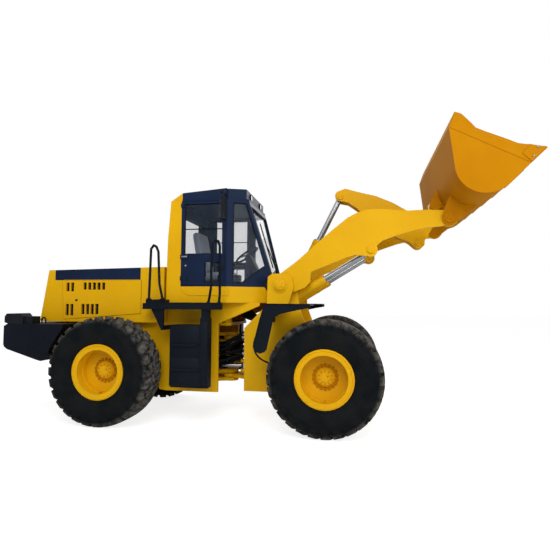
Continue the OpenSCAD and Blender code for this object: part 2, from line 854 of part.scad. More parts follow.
module fender_path(a, b) {
  polygon([[640 + a, 1120], [785 + a, fender_z - a * 0.7], [fender_front, fender_z - a * 0.7],
    [fender_front, fender_z - b],
    [785 + b * 1.0, fender_z - b], [640 + b, 1120]]);
}

module front_fenders() {
  color(black) place() for (s = [0, 1]) mirror([0, s, 0]) {
    slab(fender_in, 1285) fender_path(0, fender_t * 1.2);
    slab(1285 - fender_t, 1285) polygon([[632, 1130], [705, 1431], [775, fender_z], [fender_front, fender_z],
      [fender_front, fender_z - 45], [1180, fender_z - 75], [980, fender_z - 120], [890, fender_z - 170],
        [800, 1093],
      [770, 1062], [720, 1045], [670, 1060], [640, 1095]]);
    box([745, front_half, 1420], [785, fender_in + 60, 1480]);
    box([745, fender_in, 1460], [785, fender_in + 60, 1560]);
  }
}

module boom_plate() {
  b = boom_l;
  polygon([[0, 135], [120, 165], [321, 220], [b - 1509, 430], [b - 1220, 520], [b - 1074, 534],
    [b - 940, 520],
    [b - 820, 480], [b - 474, 307], [b - 230, 217], [b, 112], [b, -100], [b - 111, -66], [b - 322, -7],
      [b - 614, 37],
    [b - 908, 50], [b - 1020, 10], [k_p[0], k_p[1] - 95], [b - 1190, -60], [b - 1320, 5], [b - 1451, 17],
      [452, 10],
    [400, -110], [300, -160], [150, -160], [0, -135]]);
  circle(r = 135);
  translate([boom_l, 0]) circle(r = 112);
  translate(k_p) circle(r = 95);
}

module boom() {
  color(yellow) place() boom_frame() difference() {
    union() {
      pair(boom_in, boom_in + boom_t) boom_plate();
      rod_y(tube_p[0], tube_p[1], tube_d / 2, -boom_in, boom_in);
      rod_y_pair(k_p[0], k_p[1], 55, boom_in - 55, boom_in + boom_t + 12);
      pair(165, 200) ear_pair_shape(tube_p, 110, g_p, 95);
      pair(lift_y - 110, lift_y - 80) ear_pair_shape(tube_p, 100, k_p, 85);
      box_pair([boom_l - 1720, boom_in - 25, 180], [boom_l - 1120, boom_in, 205]);
    }
    rod_y_pair(0, 0, pin_a / 2 + run_c, boom_in - 5, boom_in + boom_t + 5);
    rod_y_pair(boom_l, 0, pin_b / 2 + run_c, boom_in - 5, boom_in + boom_t + 5);
    rod_y(g_p[0], g_p[1], pin_b / 2 + run_c, -250, 250);
  }
}

module ear_pair_shape(p, r, q, s) {
  v = (q - p) / norm(q - p);
  n = [-v[1], v[0]];
  polygon([p + n * r, p - n * r, q - n * s, q + n * s]);
  translate(p) circle(r = r);
  translate(q) circle(r = s);
}

module bell_plate() {
  b = boom_l;
  polygon([e_p + [-60, 45], e_p + [0, 75], e_p + [110, 70], [b - 920, 905], [b - 702, 745], [b - 520, 560],
    [b - 383, 379], [b - 335, 150], d_p + [80, 0], d_p + [-75, -28], [b - 520, -60], [b - 640, 60],
      [b - 760, 190],
    g_p + [40, -80], g_p + [-75, 50], [b - 940, 480], [b - 1020, 680], [b - 1110, 820], e_p + [-45, -60]]);
  translate(e_p) circle(r = 75);
  translate(d_p) circle(r = 80);
  translate(g_p) circle(r = 90);
}

module bellcrank() {
  color(yellow) place() boom_frame() difference() {
    union() {
      pair(bell_in, bell_in + bell_t) bell_plate();
      rod_y(g_p[0], g_p[1], 90, -160, 160);
      rod_y_pair(e_p[0], e_p[1], 55, bell_in + bell_t, bell_in + bell_t + 16);
      rod_y_pair(d_p[0], d_p[1], 55, bell_in + bell_t, bell_in + bell_t + 16);
      rod_y(boom_l - 780, 560, 55, -bell_in, bell_in);
    }
    rod_y(g_p[0], g_p[1], pin_b / 2 + run_c, -200, 200);
  }
}

module bellcrank_pin() {
  color(steel) place() boom_frame() union() {
    rod_y(g_p[0], g_p[1], pin_b / 2, -206, 206);
    rod_y_pair(g_p[0], g_p[1], pin_b / 2 + 18, 206, 220);
  }
}

module bucket_pins() {
  color(steel) place() boom_frame() union() {
    rod_y_pair(boom_l, 0, pin_b / 2, boom_in - 45, boom_in + boom_t + 45);
    rod_y_pair(boom_l, 0, pin_b / 2 + 18, boom_in + boom_t + 45, boom_in + boom_t + 58);
  }
}

c_l = [b_lx + (c_p[0] - boom_l) * cos(bucket_deg - boom_deg) + c_p[1] * sin(bucket_deg - boom_deg),
  b_lz - (c_p[0] - boom_l) * sin(bucket_deg - boom_deg) + c_p[1] * cos(bucket_deg - boom_deg)];

module link_pin() {
  color(steel) place() bucket_frame() union() {
    rod_y(c_l[0], c_l[1], pin_c / 2, -146, 146);
    rod_y_pair(c_l[0], c_l[1], pin_c / 2 + 38, 146, 170);
  }
}

module bucket_link() {
  v = (d_p - c_p) / norm(d_p - c_p);
  n = [-v[1], v[0]];
  mid = (c_p + d_p) / 2 + n * 40;
  color(yellow) place() boom_frame() difference() {
    union() {
      wide(110) polygon([c_p + n * 68, c_p - n * 68, mid - n * 62, d_p - n * 62, d_p + n * 62, mid + n * 58]);
      rod_y(c_p[0], c_p[1], 70, -96, 96);
      rod_y(d_p[0], d_p[1], 64, -84, 84);
      rod_y(d_p[0], d_p[1], 40, -bell_in + 3, bell_in - 3);
    }
    rod_y(c_p[0], c_p[1], pin_c / 2 + run_c, -120, 120);
  }
}

module wrap_outer() {
  polygon([[-edge_l, 0], [-600, 0], [-600, wrap_r], [-882, 563], [-585, 960], [-403, 1040], [-300, 700],
    [-edge_l, 300]]);
  intersection() {
    translate([-600, wrap_r]) circle(r = wrap_r, $fn = 96);
    polygon([[-600, -10], [-1000, -10], [-1000, 563], [-882, 563], [-600, wrap_r]]);
  }
}

module wrap_inner() {
  t = wrap_t;
  polygon([[-edge_l + 400, t], [-600, t], [-600, wrap_r], [-882 + 0.8 * t, 563 - 0.6 * t],
    [-585 + 0.8 * t, 960 - 0.6 * t],
    [-410, 1040 - t], [-380, 1200], [400, 1200], [400, t]]);
  intersection() {
    translate([-600, wrap_r]) circle(r = wrap_r - t, $fn = 96);
    polygon([[-600, -10], [-1000, -10], [-1000, 563 - 0.6 * t], [-882 + 0.8 * t, 563 - 0.6 * t],
      [-600, wrap_r]]);
  }
}

module side_outline() {
  polygon([[-20, 0], [-600, 0], [-600, wrap_r], [-882, 563], [-585, 960], [-411, 1047], [-376, 977],
    [-376, 905],
    [-378, 818], [-384, 735], [-350, 640], [-296, 510], [-245, 385], [-202, 268], [-150, 195],
      [-116, 157], [-60, 70],
    [-20, 20]]);
  intersection() {
    translate([-600, wrap_r]) circle(r = wrap_r, $fn = 96);
    polygon([[-600, -10], [-1000, -10], [-1000, 563], [-882, 563], [-600, wrap_r]]);
  }
}

module hinge_ear() {
  polygon([[b_lx + 30, b_lz - 98], [-820, 60], [-700, 200], [-900, 420], [b_lx - 20, b_lz + 98]]);
  translate([b_lx, b_lz]) circle(r = 98);
}

module link_ear() {
  polygon([[c_l[0] + 20, c_l[1] - 72], [-850, 250], [-700, 300], [-760, 640], [c_l[0] - 20, c_l[1] + 70]]);
  translate(c_l) circle(r = 72);
}

module bucket() {
  half = bucket_w / 2;
  color("#d8960c") place() bucket_frame() difference() {
    union() {
      wide(bucket_w - 2 * side_t) wrap_outer();
      pair(half - side_t, half) side_outline();
      pair(boom_in - 38, boom_in - 8) hinge_ear();
      pair(boom_in + boom_t + 8, boom_in + boom_t + 38) hinge_ear();
      pair(105, 140) link_ear();
      wide(bucket_w - 2 * side_t) polygon([[-600, 940], [-585, 960], [-411, 1047],
        [-402, 1030], [-560, 945]]);
    }
    wide(bucket_w - 2 * side_t) wrap_inner();
    rod_y_pair(b_lx, b_lz, pin_b / 2 + run_c, boom_in - 60, boom_in + boom_t + 60);
    rod_y(c_l[0], c_l[1], pin_c / 2 + run_c, -200, 200);
  }
}

module cutting_edge() {
  color("#6b6f73") place() bucket_frame() wide(bucket_w - 2 * side_t)
    polygon([[-edge_l, 0], [0, 0], [-60, edge_t], [-edge_l, edge_t]]);
}

module lift_barrel(side) {
  color(yellow) place() lift_frame(side) difference() {
    union() {
      translate([0, 0, 60]) cylinder(d = lift_d, h = lift_gland - 60);
      translate([0, 0, lift_gland - 70]) cylinder(d = lift_d + 6, h = 60);
      rotate([90, 0, 0]) cylinder(r = 68, h = 110, center = true);
      cylinder(d = 90, h = 80);
    }
    rotate([90, 0, 0]) cylinder(r = 40 + run_c, h = 140, center = true);
    translate([0, 0, 90]) cylinder(d = lift_rod_d + 2 * run_c, h = lift_gland);
  }
}

module lift_rod(side) {
  color(steel) place() lift_frame(side) union() {
    translate([0, 0, 400]) cylinder(d = lift_rod_d, h = lift_l - 400);
    translate([0, 0, lift_l]) rotate([90, 0, 0]) cylinder(r = 68, h = 130, center = true);
    translate([0, 0, lift_l]) rotate([90, 0, 0]) cylinder(r = 42, h = 150, center = true);
  }
}

module tilt_barrel() {
  color(yellow) place() tilt_frame() difference() {
    union() {
      translate([0, 0, 70]) cylinder(d = tilt_d, h = tilt_gland - 70);
      translate([0, 0, tilt_gland - 70]) cylinder(d = tilt_d + 8, h = 60);
      rotate([90, 0, 0]) cylinder(r = 75, h = 2 * (bell_in - 13), center = true);
      cylinder(d = 100, h = 90);
    }
    rotate([90, 0, 0]) cylinder(r = 45 + run_c, h = 240, center = true);
    translate([0, 0, 110]) cylinder(d = tilt_rod_d + 2 * run_c, h = tilt_gland);
  }
}

module tilt_rod() {
  color(steel) place() tilt_frame() union() {
    translate([0, 0, 520]) cylinder(d = tilt_rod_d, h = tilt_l - 520);
    translate([0, 0, tilt_l]) rotate([90, 0, 0]) cylinder(r = 66, h = 2 * (bell_in - 10), center = true);
    translate([0, 0, tilt_l]) rotate([90, 0, 0]) cylinder(r = 40, h = 2 * (bell_in - 3), center = true);
  }
}

module steer_barrel(side) {
  color(black) place() steer_frame(side) difference() {
    union() {
      translate([0, 0, 50]) cylinder(d = steer_d, h = steer_gland - 50);
      rotate([0, 90, 0]) cylinder(r = 34, h = 80, center = true);
      cylinder(d = 60, h = 60);
    }
    rotate([0, 90, 0]) cylinder(r = steer_pin / 2 + run_c, h = 120, center = true);
    translate([0, 0, 70]) cylinder(d = steer_rod_d + 2 * run_c, h = steer_gland);
  }
}

module steer_rod(side) {
  color(steel) place() steer_frame(side) union() {
    translate([0, 0, 280]) cylinder(d = steer_rod_d, h = steer_l - 280);
    translate([0, 0, steer_l]) rotate([0, 90, 0]) cylinder(r = 44, h = 80, center = true);
  }
}

rear_frame();
counterweight();
tail_lamps();
engine_block();
rear_grille();
hood_shell();
hood_top();
cab_base();
cab_rear();
cab_frame();
cab_roof();
cab_glass();
cab_seat();
steering_column();
platforms();
handrails();
step_boxes();
mirrors();
rear_axle();
prop_shaft();
hood_door(-1);  // hood_door_right
hood_door(1);  // hood_door_left
cab_door(-1);  // cab_door_right
cab_door(1);  // cab_door_left
door_glass(-1);  // door_glass_right
door_glass(1);  // door_glass_left
rim(rear_x, -1);  // rim_rear_right
rim(rear_x, 1);  // rim_rear_left
tyre(rear_x, -1);  // tyre_rear_right
tyre(rear_x, 1);  // tyre_rear_left
rim(front_x, -1);  // rim_front_right
rim(front_x, 1);  // rim_front_left
tyre(front_x, -1);  // tyre_front_right
tyre(front_x, 1);  // tyre_front_left
front_frame();
front_fenders();
front_axle();
boom();
lift_barrel(-1);  // lift_barrel_right
lift_barrel(1);  // lift_barrel_left
lift_rod(-1);  // lift_rod_right
lift_rod(1);  // lift_rod_left
tilt_barrel();
tilt_rod();
bucket_pins();
bucket();
cutting_edge();
bellcrank_pin();
bellcrank();
link_pin();
bucket_link();
steer_barrel(-1);  // steer_barrel_right
steer_barrel(1);  // steer_barrel_left
steer_rod(-1);  // steer_rod_right
steer_rod(1);  // steer_rod_left
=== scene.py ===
import json
import math

import bmesh
import bpy
import numpy as np
from mathutils import Matrix, Vector


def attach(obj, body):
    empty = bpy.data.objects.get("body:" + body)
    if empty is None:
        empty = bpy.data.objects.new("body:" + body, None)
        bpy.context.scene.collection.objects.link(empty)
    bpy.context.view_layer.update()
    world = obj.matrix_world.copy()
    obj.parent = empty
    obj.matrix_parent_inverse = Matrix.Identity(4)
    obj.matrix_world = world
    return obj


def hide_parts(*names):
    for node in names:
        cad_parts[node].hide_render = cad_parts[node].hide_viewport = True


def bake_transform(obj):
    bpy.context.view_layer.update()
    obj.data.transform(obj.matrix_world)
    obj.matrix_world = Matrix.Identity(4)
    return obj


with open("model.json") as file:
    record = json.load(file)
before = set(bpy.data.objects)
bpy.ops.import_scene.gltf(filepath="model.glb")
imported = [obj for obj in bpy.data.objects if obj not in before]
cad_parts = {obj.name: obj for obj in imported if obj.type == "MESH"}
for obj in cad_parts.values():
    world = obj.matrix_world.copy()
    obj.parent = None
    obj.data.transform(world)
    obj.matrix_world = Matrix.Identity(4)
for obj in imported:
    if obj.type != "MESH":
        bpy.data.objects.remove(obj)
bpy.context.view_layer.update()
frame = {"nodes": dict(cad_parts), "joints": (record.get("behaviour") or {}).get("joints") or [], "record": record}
nodes = frame["nodes"]
jointAt = {joint["name"]: joint.get("pos_m") for joint in frame["joints"]}
pivotX = jointAt["articulation"][0]
rightLeft = {"right": -1, "left": 1}
print("frame loaded:", len(nodes), "nodes")


# a shape is its points and a list of face index arrays, in millimetres from the steering pivot

def gridShape(points, closeAlong=False, closeAcross=False, caps=False):
    # rows of points joined to the next row by four-sided faces, with the end rows closed on request
    rows, columns = points.shape[:2]
    index = np.arange(rows * columns).reshape(rows, columns)
    ends = [index[:1, ::-1], index[-1:]] if caps else []
    if closeAlong:
        index = np.vstack([index, index[:1]])
    if closeAcross:
        index = np.hstack([index, index[:, :1]])
    quads = np.stack([index[:-1, :-1], index[:-1, 1:], index[1:, 1:], index[1:, :-1]], -1)
    return points.reshape(-1, 3), [quads.reshape(-1, 4)] + ends


def merge(shapes):
    # one shape: every face index is raised by the number of points before it
    starts = np.cumsum([0] + [len(shape[0]) for shape in shapes])
    faces = [part + start for shape, start in zip(shapes, starts) for part in shape[1]]
    return np.concatenate([shape[0] for shape in shapes]), faces


def unit(vectors):
    # each vector divided by its length
    return vectors / np.linalg.norm(vectors, axis=-1, keepdims=True)


def squareTo(axis):
    # the axis at length one, and two directions square to it and to each other
    axis = unit(np.asarray(axis, float))
    first = unit(np.cross(axis, np.eye(3)[np.argmin(np.abs(axis))]))
    return axis, first, np.cross(axis, first)


def smoothPath(points, perSpan=6):
    # a cubic through every point, its slope at each point half the step between the neighbours
    p = np.asarray(points, float)
    p = np.vstack([2 * p[0] - p[1], p, 2 * p[-1] - p[-2]])
    t = np.linspace(0, 1, perSpan, endpoint=False)[None, :, None]
    a, b, c, d = p[:-3, None], p[1:-2, None], p[2:-1, None], p[3:, None]
    q = 0.5 * (2 * b + (c - a) * t + (2 * a - 5 * b + 4 * c - d) * t**2 + (3 * b - a - 3 * c + d) * t**3)
    return np.vstack([q.reshape(-1, 3), p[-2]])


def sweep(path, radius, sides=10, closed=False):
    # a circle carried along a path: centre plus radius times (cosine on one square axis, sine on the other)
    path = np.asarray(path, float)
    ahead = np.roll(path, -1, 0) - np.roll(path, 1, 0)
    if not closed:
        ahead[0], ahead[-1] = path[1] - path[0], path[-1] - path[-2]
    ahead = unit(ahead)
    side = unit(np.cross(ahead, np.eye(3)[np.argmin(np.abs(ahead).max(0))]))
    up = np.cross(side, ahead)
    turn = np.linspace(0, 2 * math.pi, sides, endpoint=False)[None, :, None]
    rings = path[:, None] + radius * (np.cos(turn) * side[:, None] + np.sin(turn) * up[:, None])
    return gridShape(rings, closed, True, not closed)


def roundBox(low, high, radius, steps=3):
    # a sphere's grid with each eighth pushed out to a corner, which leaves flat faces between
    low, high = np.asarray(low, float), np.asarray(high, float)
    quarter = np.linspace(0, math.pi / 2, steps)
    lat = np.concatenate([quarter - math.pi / 2, quarter])[:, None]
    lon = np.concatenate([quarter + k * math.pi / 2 for k in range(4)])[None, :]
    zSign = np.repeat([-1, 1], steps)[:, None] + 0 * lon
    xSign = np.repeat([1, -1, -1, 1], steps)[None, :] + 0 * lat
    ySign = np.repeat([1, 1, -1, -1], steps)[None, :] + 0 * lat
    normal = np.stack([np.cos(lat) * np.cos(lon), np.cos(lat) * np.sin(lon), np.sin(lat) + 0 * lon], -1)
    corner = np.stack([xSign, ySign, zSign], -1) * ((high - low) / 2 - radius)
    return gridShape((low + high) / 2 + corner + radius * normal, False, True, True)


def lathe(profile, centre, axis, sides=40, closed=False):
    # a profile of (distance along the axis, radius) turned about the axis
    profile = np.asarray(profile, float)
    axis, first, second = squareTo(axis)
    turn = np.linspace(0, 2 * math.pi, sides, endpoint=False)[None, :, None]
    ring = np.cos(turn) * first + np.sin(turn) * second
    points = np.asarray(centre, float) + profile[:, :1, None] * axis + profile[:, 1:, None] * ring
    return gridShape(points, closed, True, not closed)


def plate(outline, near, far, bevel=4):
    # an outline in x and z carried across y, its rim drawn in by the bevel at both faces
    o = np.asarray(outline, float)
    edge = unit(np.roll(o, -1, 0) - o)
    normal = np.stack([edge[:, 1], -edge[:, 0]], -1)
    before = np.roll(normal, 1, 0)
    mitre = (normal + before) / (1 + (normal * before).sum(-1, keepdims=True))
    area = (o[:, 0] * np.roll(o[:, 1], -1) - o[:, 1] * np.roll(o[:, 0], -1)).sum()
    drawn = o - mitre * bevel * np.sign(area)
    step = bevel * np.sign(far - near)
    rows = [(drawn, near), (o, near + step), (o, far - step), (drawn, far)]
    points = np.stack([np.stack([r[:, 0], np.full(len(r), y), r[:, 1]], -1) for r, y in rows])
    return gridShape(points, False, True, True)


def hexHeads(centres, axis, radius, height):
    # six-sided heads: three rings of six points at every centre, the last one chamfered
    centres = np.atleast_2d(np.asarray(centres, float))
    axis, first, second = squareTo(axis)
    turn = np.arange(6)[:, None] * math.pi / 3
    ring = np.cos(turn) * first + np.sin(turn) * second
    up = np.array([0, 0.8, 1])[:, None, None] * height * axis
    out = np.array([1, 1, 0.82])[:, None, None] * radius * ring
    points = centres[:, None, None] + up + out
    index = np.arange(points.size // 3).reshape(-1, 3, 6)
    wrap = np.concatenate([index, index[..., :1]], -1)
    quads = np.stack([wrap[:, :-1, :-1], wrap[:, :-1, 1:], wrap[:, 1:, 1:], wrap[:, 1:, :-1]], -1)
    return points.reshape(-1, 3), [quads.reshape(-1, 4), index[:, 2], index[:, 0, ::-1]]


def circlePoints(centre, axis, radius, count):
    # equal steps round a circle that is square to the axis
    axis, first, second = squareTo(axis)
    turn = (np.arange(count) / count * 2 * math.pi)[:, None]
    return np.asarray(centre, float) + radius * (np.cos(turn) * first + np.sin(turn) * second)


def headRing(centre, side, circle, count, radius, height):
    # a ring of six-sided heads on a face that looks out to one side
    return hexHeads(circlePoints(centre, (0, side, 0), circle, count), (0, side, 0), radius, height)


def turned(shape, angle, centre):
    # the shape turned in the x and z plane about a centre, nose up for a positive angle in degrees
    c, s = math.cos(math.radians(angle)), math.sin(math.radians(angle))
    x, z = shape[0][:, 0], shape[0][:, 2]
    points = np.stack([centre[0] + x * c - z * s, shape[0][:, 1], centre[1] + x * s + z * c], -1)
    return points, shape[1]


def moved(shape, x, y, z, side=1):
    # mirrored across y where side is -1, then shifted
    return shape[0] * [1, side, 1] + [x, y, z], shape[1]


def onSide(shape, side):
    # a shape drawn on the left, where y is positive, and mirrored for the right
    return shape[0] * [1, side, 1], shape[1]


def makePiece(name, shapes, material, body, sharp=35, side=1):
    # one mesh in metres, mirrored across y where side is -1, doubles merged and faces turned outwards
    points, faces = merge(shapes)
    points = points * [1, side, 1] / 1000 + [pivotX, 0, 0]
    widths = np.concatenate([np.full(len(part), part.shape[1]) for part in faces])
    mesh = bpy.data.meshes.new(name)
    mesh.vertices.add(len(points))
    mesh.vertices.foreach_set("co", points.ravel())
    mesh.loops.add(int(widths.sum()))
    mesh.loops.foreach_set("vertex_index", np.concatenate([part.ravel() for part in faces]))
    mesh.polygons.add(len(widths))
    mesh.polygons.foreach_set("loop_start", np.cumsum(widths) - widths)
    mesh.update(calc_edges=True)
    work = bmesh.new()
    work.from_mesh(mesh)
    bmesh.ops.remove_doubles(work, verts=work.verts, dist=1e-5)
    bmesh.ops.dissolve_degenerate(work, edges=work.edges, dist=1e-6)
    bmesh.ops.recalc_face_normals(work, faces=work.faces)
    work.to_mesh(mesh)
    work.free()
    mesh.shade_smooth()
    mesh.set_sharp_from_angle(angle=math.radians(sharp))
    piece = bpy.data.objects.new(name, mesh)
    bpy.context.scene.collection.objects.link(piece)
    piece.data.materials.append(material)
    if body:
        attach(piece, body)
    return piece


# finishes

def linear(hexText):
    # an sRGB hex colour to linear red, green and blue
    values = np.array([int(hexText[k:k + 2], 16) for k in (1, 3, 5)]) / 255
    values = np.where(values <= 0.04045, values / 12.92, ((values + 0.055) / 1.055) ** 2.4)
    return (*values, 1.0)


def addNode(tree, kind, values={}, links={}, **settings):
    # a shader node with its settings, socket values and links
    node = tree.nodes.new("ShaderNode" + kind)
    for key, value in settings.items():
        setattr(node, key, value)
    for key, value in values.items():
        node.inputs[key].default_value = value
    for key, (source, output) in links.items():
        tree.links.new(source.outputs[output], node.inputs[key])
    return node


def newFinish(name):
    # a material and its empty node tree
    material = bpy.data.materials.new(name)
    material.use_nodes = True
    material.node_tree.nodes.clear()
    return material, material.node_tree


def enamel(look):
    # sprayed enamel on steel plate: broad fading, a fine orange peel, and road dust that gathers low down
    material, tree = newFinish(look["name"])
    coord = addNode(tree, "TexCoord")
    place = {"Vector": (coord, "Object")}
    broad = addNode(tree, "TexNoise", {"Scale": look["fadeScale"], "Detail": 5.0}, place)
    fade = addNode(tree, "MapRange", {"From Min": 0.35, "From Max": 0.7}, {"Value": (broad, "Fac")})
    paint = addNode(tree, "Mix", {6: linear(look["base"]), 7: linear(look["faded"])}, {0: (fade, "Result")},
                    data_type="RGBA")
    speck = addNode(tree, "TexNoise", {"Scale": 26.0, "Detail": 6.0, "Roughness": 0.7}, place)
    axes = addNode(tree, "SeparateXYZ", {}, {0: (coord, "Object")})
    low = addNode(tree, "MapRange", {"From Min": 0.25, "From Max": 1.5, "To Min": 0.22, "To Max": 0.02},
                  {"Value": (axes, "Z")})
    spot = addNode(tree, "MapRange", {"From Min": 0.45, "From Max": 0.75}, {"Value": (speck, "Fac")})
    dust = addNode(tree, "Math", {}, {0: (low, "Result"), 1: (spot, "Result")}, operation="MULTIPLY")
    colour = addNode(tree, "Mix", {7: linear(look["dust"])}, {0: (dust, 0), 6: (paint, 2)}, data_type="RGBA")
    rough = addNode(tree, "MapRange", {"To Min": look["rough"], "To Max": look["rough"] + 0.3},
                    {"Value": (dust, 0)})
    # real orange peel is about 3 mm across: drawn at 12 mm so that it shows
    peel = addNode(tree, "TexNoise", {"Scale": 80.0, "Detail": 2.0}, place)
    bump = addNode(tree, "Bump", {"Strength": 0.05, "Distance": 0.004}, {"Height": (peel, "Fac")})
    shader = addNode(tree, "BsdfPrincipled", {"IOR": 1.5, "Specular IOR Level": look["gloss"]},
                     {"Base Color": (colour, 2), "Roughness": (rough, "Result"), "Normal": (bump, "Normal")})
    addNode(tree, "OutputMaterial", {}, {"Surface": (shader, "BSDF")})
    return material


def grained(look):
    # bare metals, rubber and plastic: one noise varies roughness and relief
    # real grain is about 1 mm or less: drawn 5 to 17 mm across so that it shows
    material, tree = newFinish(look["name"])
    coord = addNode(tree, "TexCoord")
    place = {"Vector": (coord, "Object")}
    stretch = addNode(tree, "Mapping", {"Scale": look.get("stretch", (1, 1, 1))}, place)
    grain = addNode(tree, "TexNoise", {"Scale": look["scale"], "Detail": 4.0},
                    {"Vector": (stretch, "Vector")})
    cloud = addNode(tree, "TexNoise", {"Scale": look.get("cloud", 3.0), "Detail": 5.0}, place)
    patch = addNode(tree, "MapRange", {"From Min": 0.35, "From Max": 0.72}, {"Value": (cloud, "Fac")})
    colour = addNode(tree, "Mix", {6: linear(look["base"]), 7: linear(look["worn"])}, {0: (patch, "Result")},
                     data_type="RGBA")
    if "treadDustAndHighlight" in look:
        # pale dust and a painted highlight on the tread tops grow with the distance from the axle, which is the
        # middle of the piece's own box
        fromAxle = addNode(tree, "VectorMath", {1: (1, 0, 1), 2: (-0.5, 0, -0.5)}, {0: (coord, "Generated")},
                           operation="MULTIPLY_ADD")
        distance = addNode(tree, "VectorMath", {}, {0: (fromAxle, 0)}, operation="LENGTH")
        crown = addNode(tree, "MapRange", {"From Min": 0.445, "From Max": 0.499},
                        {"Value": (distance, "Value")})
        tipNoise = addNode(tree, "TexNoise", {"Scale": 13.0, "Detail": 6.0, "Roughness": 0.65}, place)
        tipSpots = addNode(tree, "MapRange", {"From Min": 0.36, "From Max": 0.64}, {"Value": (tipNoise, "Fac")})
        dustAndHighlight = addNode(tree, "Math", {}, {0: (crown, "Result"), 1: (tipSpots, "Result")}, operation="MULTIPLY")
        colour = addNode(tree, "Mix", {7: linear(look["treadDustAndHighlight"])}, {0: (dustAndHighlight, 0), 6: (colour, 2)},
                         data_type="RGBA")
    smooth, coarse = look["rough"]
    rough = addNode(tree, "MapRange", {"From Min": 0.3, "From Max": 0.7, "To Min": smooth, "To Max": coarse},
                    {"Value": (grain, "Fac")})
    bump = addNode(tree, "Bump", {"Strength": look["relief"], "Distance": 0.003}, {"Height": (grain, "Fac")})
    values = {"Metallic": look.get("metallic", 0.0), "Specular IOR Level": look.get("gloss", 0.5)}
    if not look.get("metallic"):
        values["IOR"] = look.get("ior", 1.5)
    shader = addNode(tree, "BsdfPrincipled", values,
                     {"Base Color": (colour, 2), "Roughness": (rough, "Result"), "Normal": (bump, "Normal")})
    addNode(tree, "OutputMaterial", {}, {"Surface": (shader, "BSDF")})
    return material


def toughenedGlass(look):
    # float glass with a faint blue-grey tint: mostly clear, with a mirror-smooth face
    material, tree = newFinish(look["name"])
    coord = addNode(tree, "TexCoord")
    film = addNode(tree, "TexNoise", {"Scale": 2.5, "Detail": 4.0}, {"Vector": (coord, "Object")})
    rough = addNode(tree, "MapRange", {"To Min": 0.01, "To Max": 0.07}, {"Value": (film, "Fac")})
    values = {"Base Color": linear(look["base"]), "IOR": 1.52, "Alpha": look["alpha"]}
    shader = addNode(tree, "BsdfPrincipled", values, {"Roughness": (rough, "Result")})
    addNode(tree, "OutputMaterial", {}, {"Surface": (shader, "BSDF")})
    return material


def wovenCloth(look):
    # plain-woven seat cloth: two crossing wave sets at the yarn spacing, drawn at 6 mm so that it shows
    material, tree = newFinish(look["name"])
    coord = addNode(tree, "TexCoord")
    place = {"Vector": (coord, "Object")}
    warp, weft = (addNode(tree, "TexWave", {"Scale": 50.0}, place, bands_direction=axis)
                  for axis in ("Y", "Z"))
    weave = addNode(tree, "Math", {}, {0: (warp, "Fac"), 1: (weft, "Fac")}, operation="MULTIPLY")
    colour = addNode(tree, "Mix", {6: linear(look["base"]), 7: linear(look["yarn"])}, {0: (weave, 0)},
                     data_type="RGBA")
    bump = addNode(tree, "Bump", {"Strength": 0.3, "Distance": 0.002}, {"Height": (weave, 0)})
    shader = addNode(tree, "BsdfPrincipled", {"Roughness": 0.85, "Sheen Weight": 0.3},
                     {"Base Color": (colour, 2), "Normal": (bump, "Normal")})
    addNode(tree, "OutputMaterial", {}, {"Surface": (shader, "BSDF")})
    return material


# enamels: an even colour with a soft, broad shine
yellowEnamel = enamel({"name": "yellow_enamel_on_steel", "base": "#E2AE08", "faded": "#D8A006",
                       "dust": "#A8843C", "rough": 0.46, "gloss": 0.1, "fadeScale": 0.8})
# the bucket's enamel is the yellow paint darkened to amber: painted shade
shadedYellowEnamel = enamel({"name": "yellow_enamel_with_painted_shade", "base": "#C28207", "faded": "#B87605",
                       "dust": "#8E6C2C", "rough": 0.7, "gloss": 0.03, "fadeScale": 1.3})
navyEnamel = enamel({"name": "dark_blue_enamel_on_steel", "base": "#142440", "faded": "#101B32",
                     "dust": "#3C3E42", "rough": 0.4, "gloss": 0.08, "fadeScale": 1.5})
blackEnamel = enamel({"name": "black_enamel_on_steel", "base": "#0A0F18", "faded": "#10161F",
                      "dust": "#3A3833", "rough": 0.46, "gloss": 0.07, "fadeScale": 1.8})
# rubbers: black that hardly shines, paler on the tread tops where dust and a painted highlight lie
tyreRubber = grained({"name": "moulded_tyre_rubber", "base": "#0D1114", "worn": "#1A1B1B",
                      "treadDustAndHighlight": "#706C66", "scale": 160.0, "cloud": 4.0, "rough": (0.7, 0.92),
                      "relief": 0.25, "gloss": 0.06})
hoseRubber = grained({"name": "wrapped_hose_rubber", "base": "#0D0E11", "worn": "#17181B", "scale": 200.0,
                      "rough": (0.55, 0.75), "relief": 0.15, "gloss": 0.08})
# steels: mirror-like on the rods, satin on bolts and hose ends
chromedSteel = grained({"name": "hard_chromed_steel", "base": "#9A9EA3", "worn": "#8A8E93", "scale": 60.0,
                        "stretch": (1, 12, 1), "rough": (0.15, 0.28), "relief": 0.02, "metallic": 1.0})
groundSteel = grained({"name": "ground_steel", "base": "#8C8F93", "worn": "#6F7072", "scale": 120.0,
                       "rough": (0.3, 0.5), "relief": 0.08, "metallic": 1.0})
# castings and plastic: a rough sand-cast skin, and a fine even grain
castIron = grained({"name": "painted_cast_iron", "base": "#C99212", "worn": "#8B6A1C", "scale": 90.0,
                    "rough": (0.5, 0.75), "relief": 0.3})
darkCasting = grained({"name": "dark_grey_cast_iron", "base": "#2A2B2D", "worn": "#1C1C1D", "scale": 90.0,
                       "rough": (0.5, 0.75), "relief": 0.3, "gloss": 0.15})
mouldedPlastic = grained({"name": "moulded_black_plastic", "base": "#111318", "worn": "#1A1C21",
                          "scale": 220.0, "rough": (0.45, 0.62), "relief": 0.12, "gloss": 0.1})
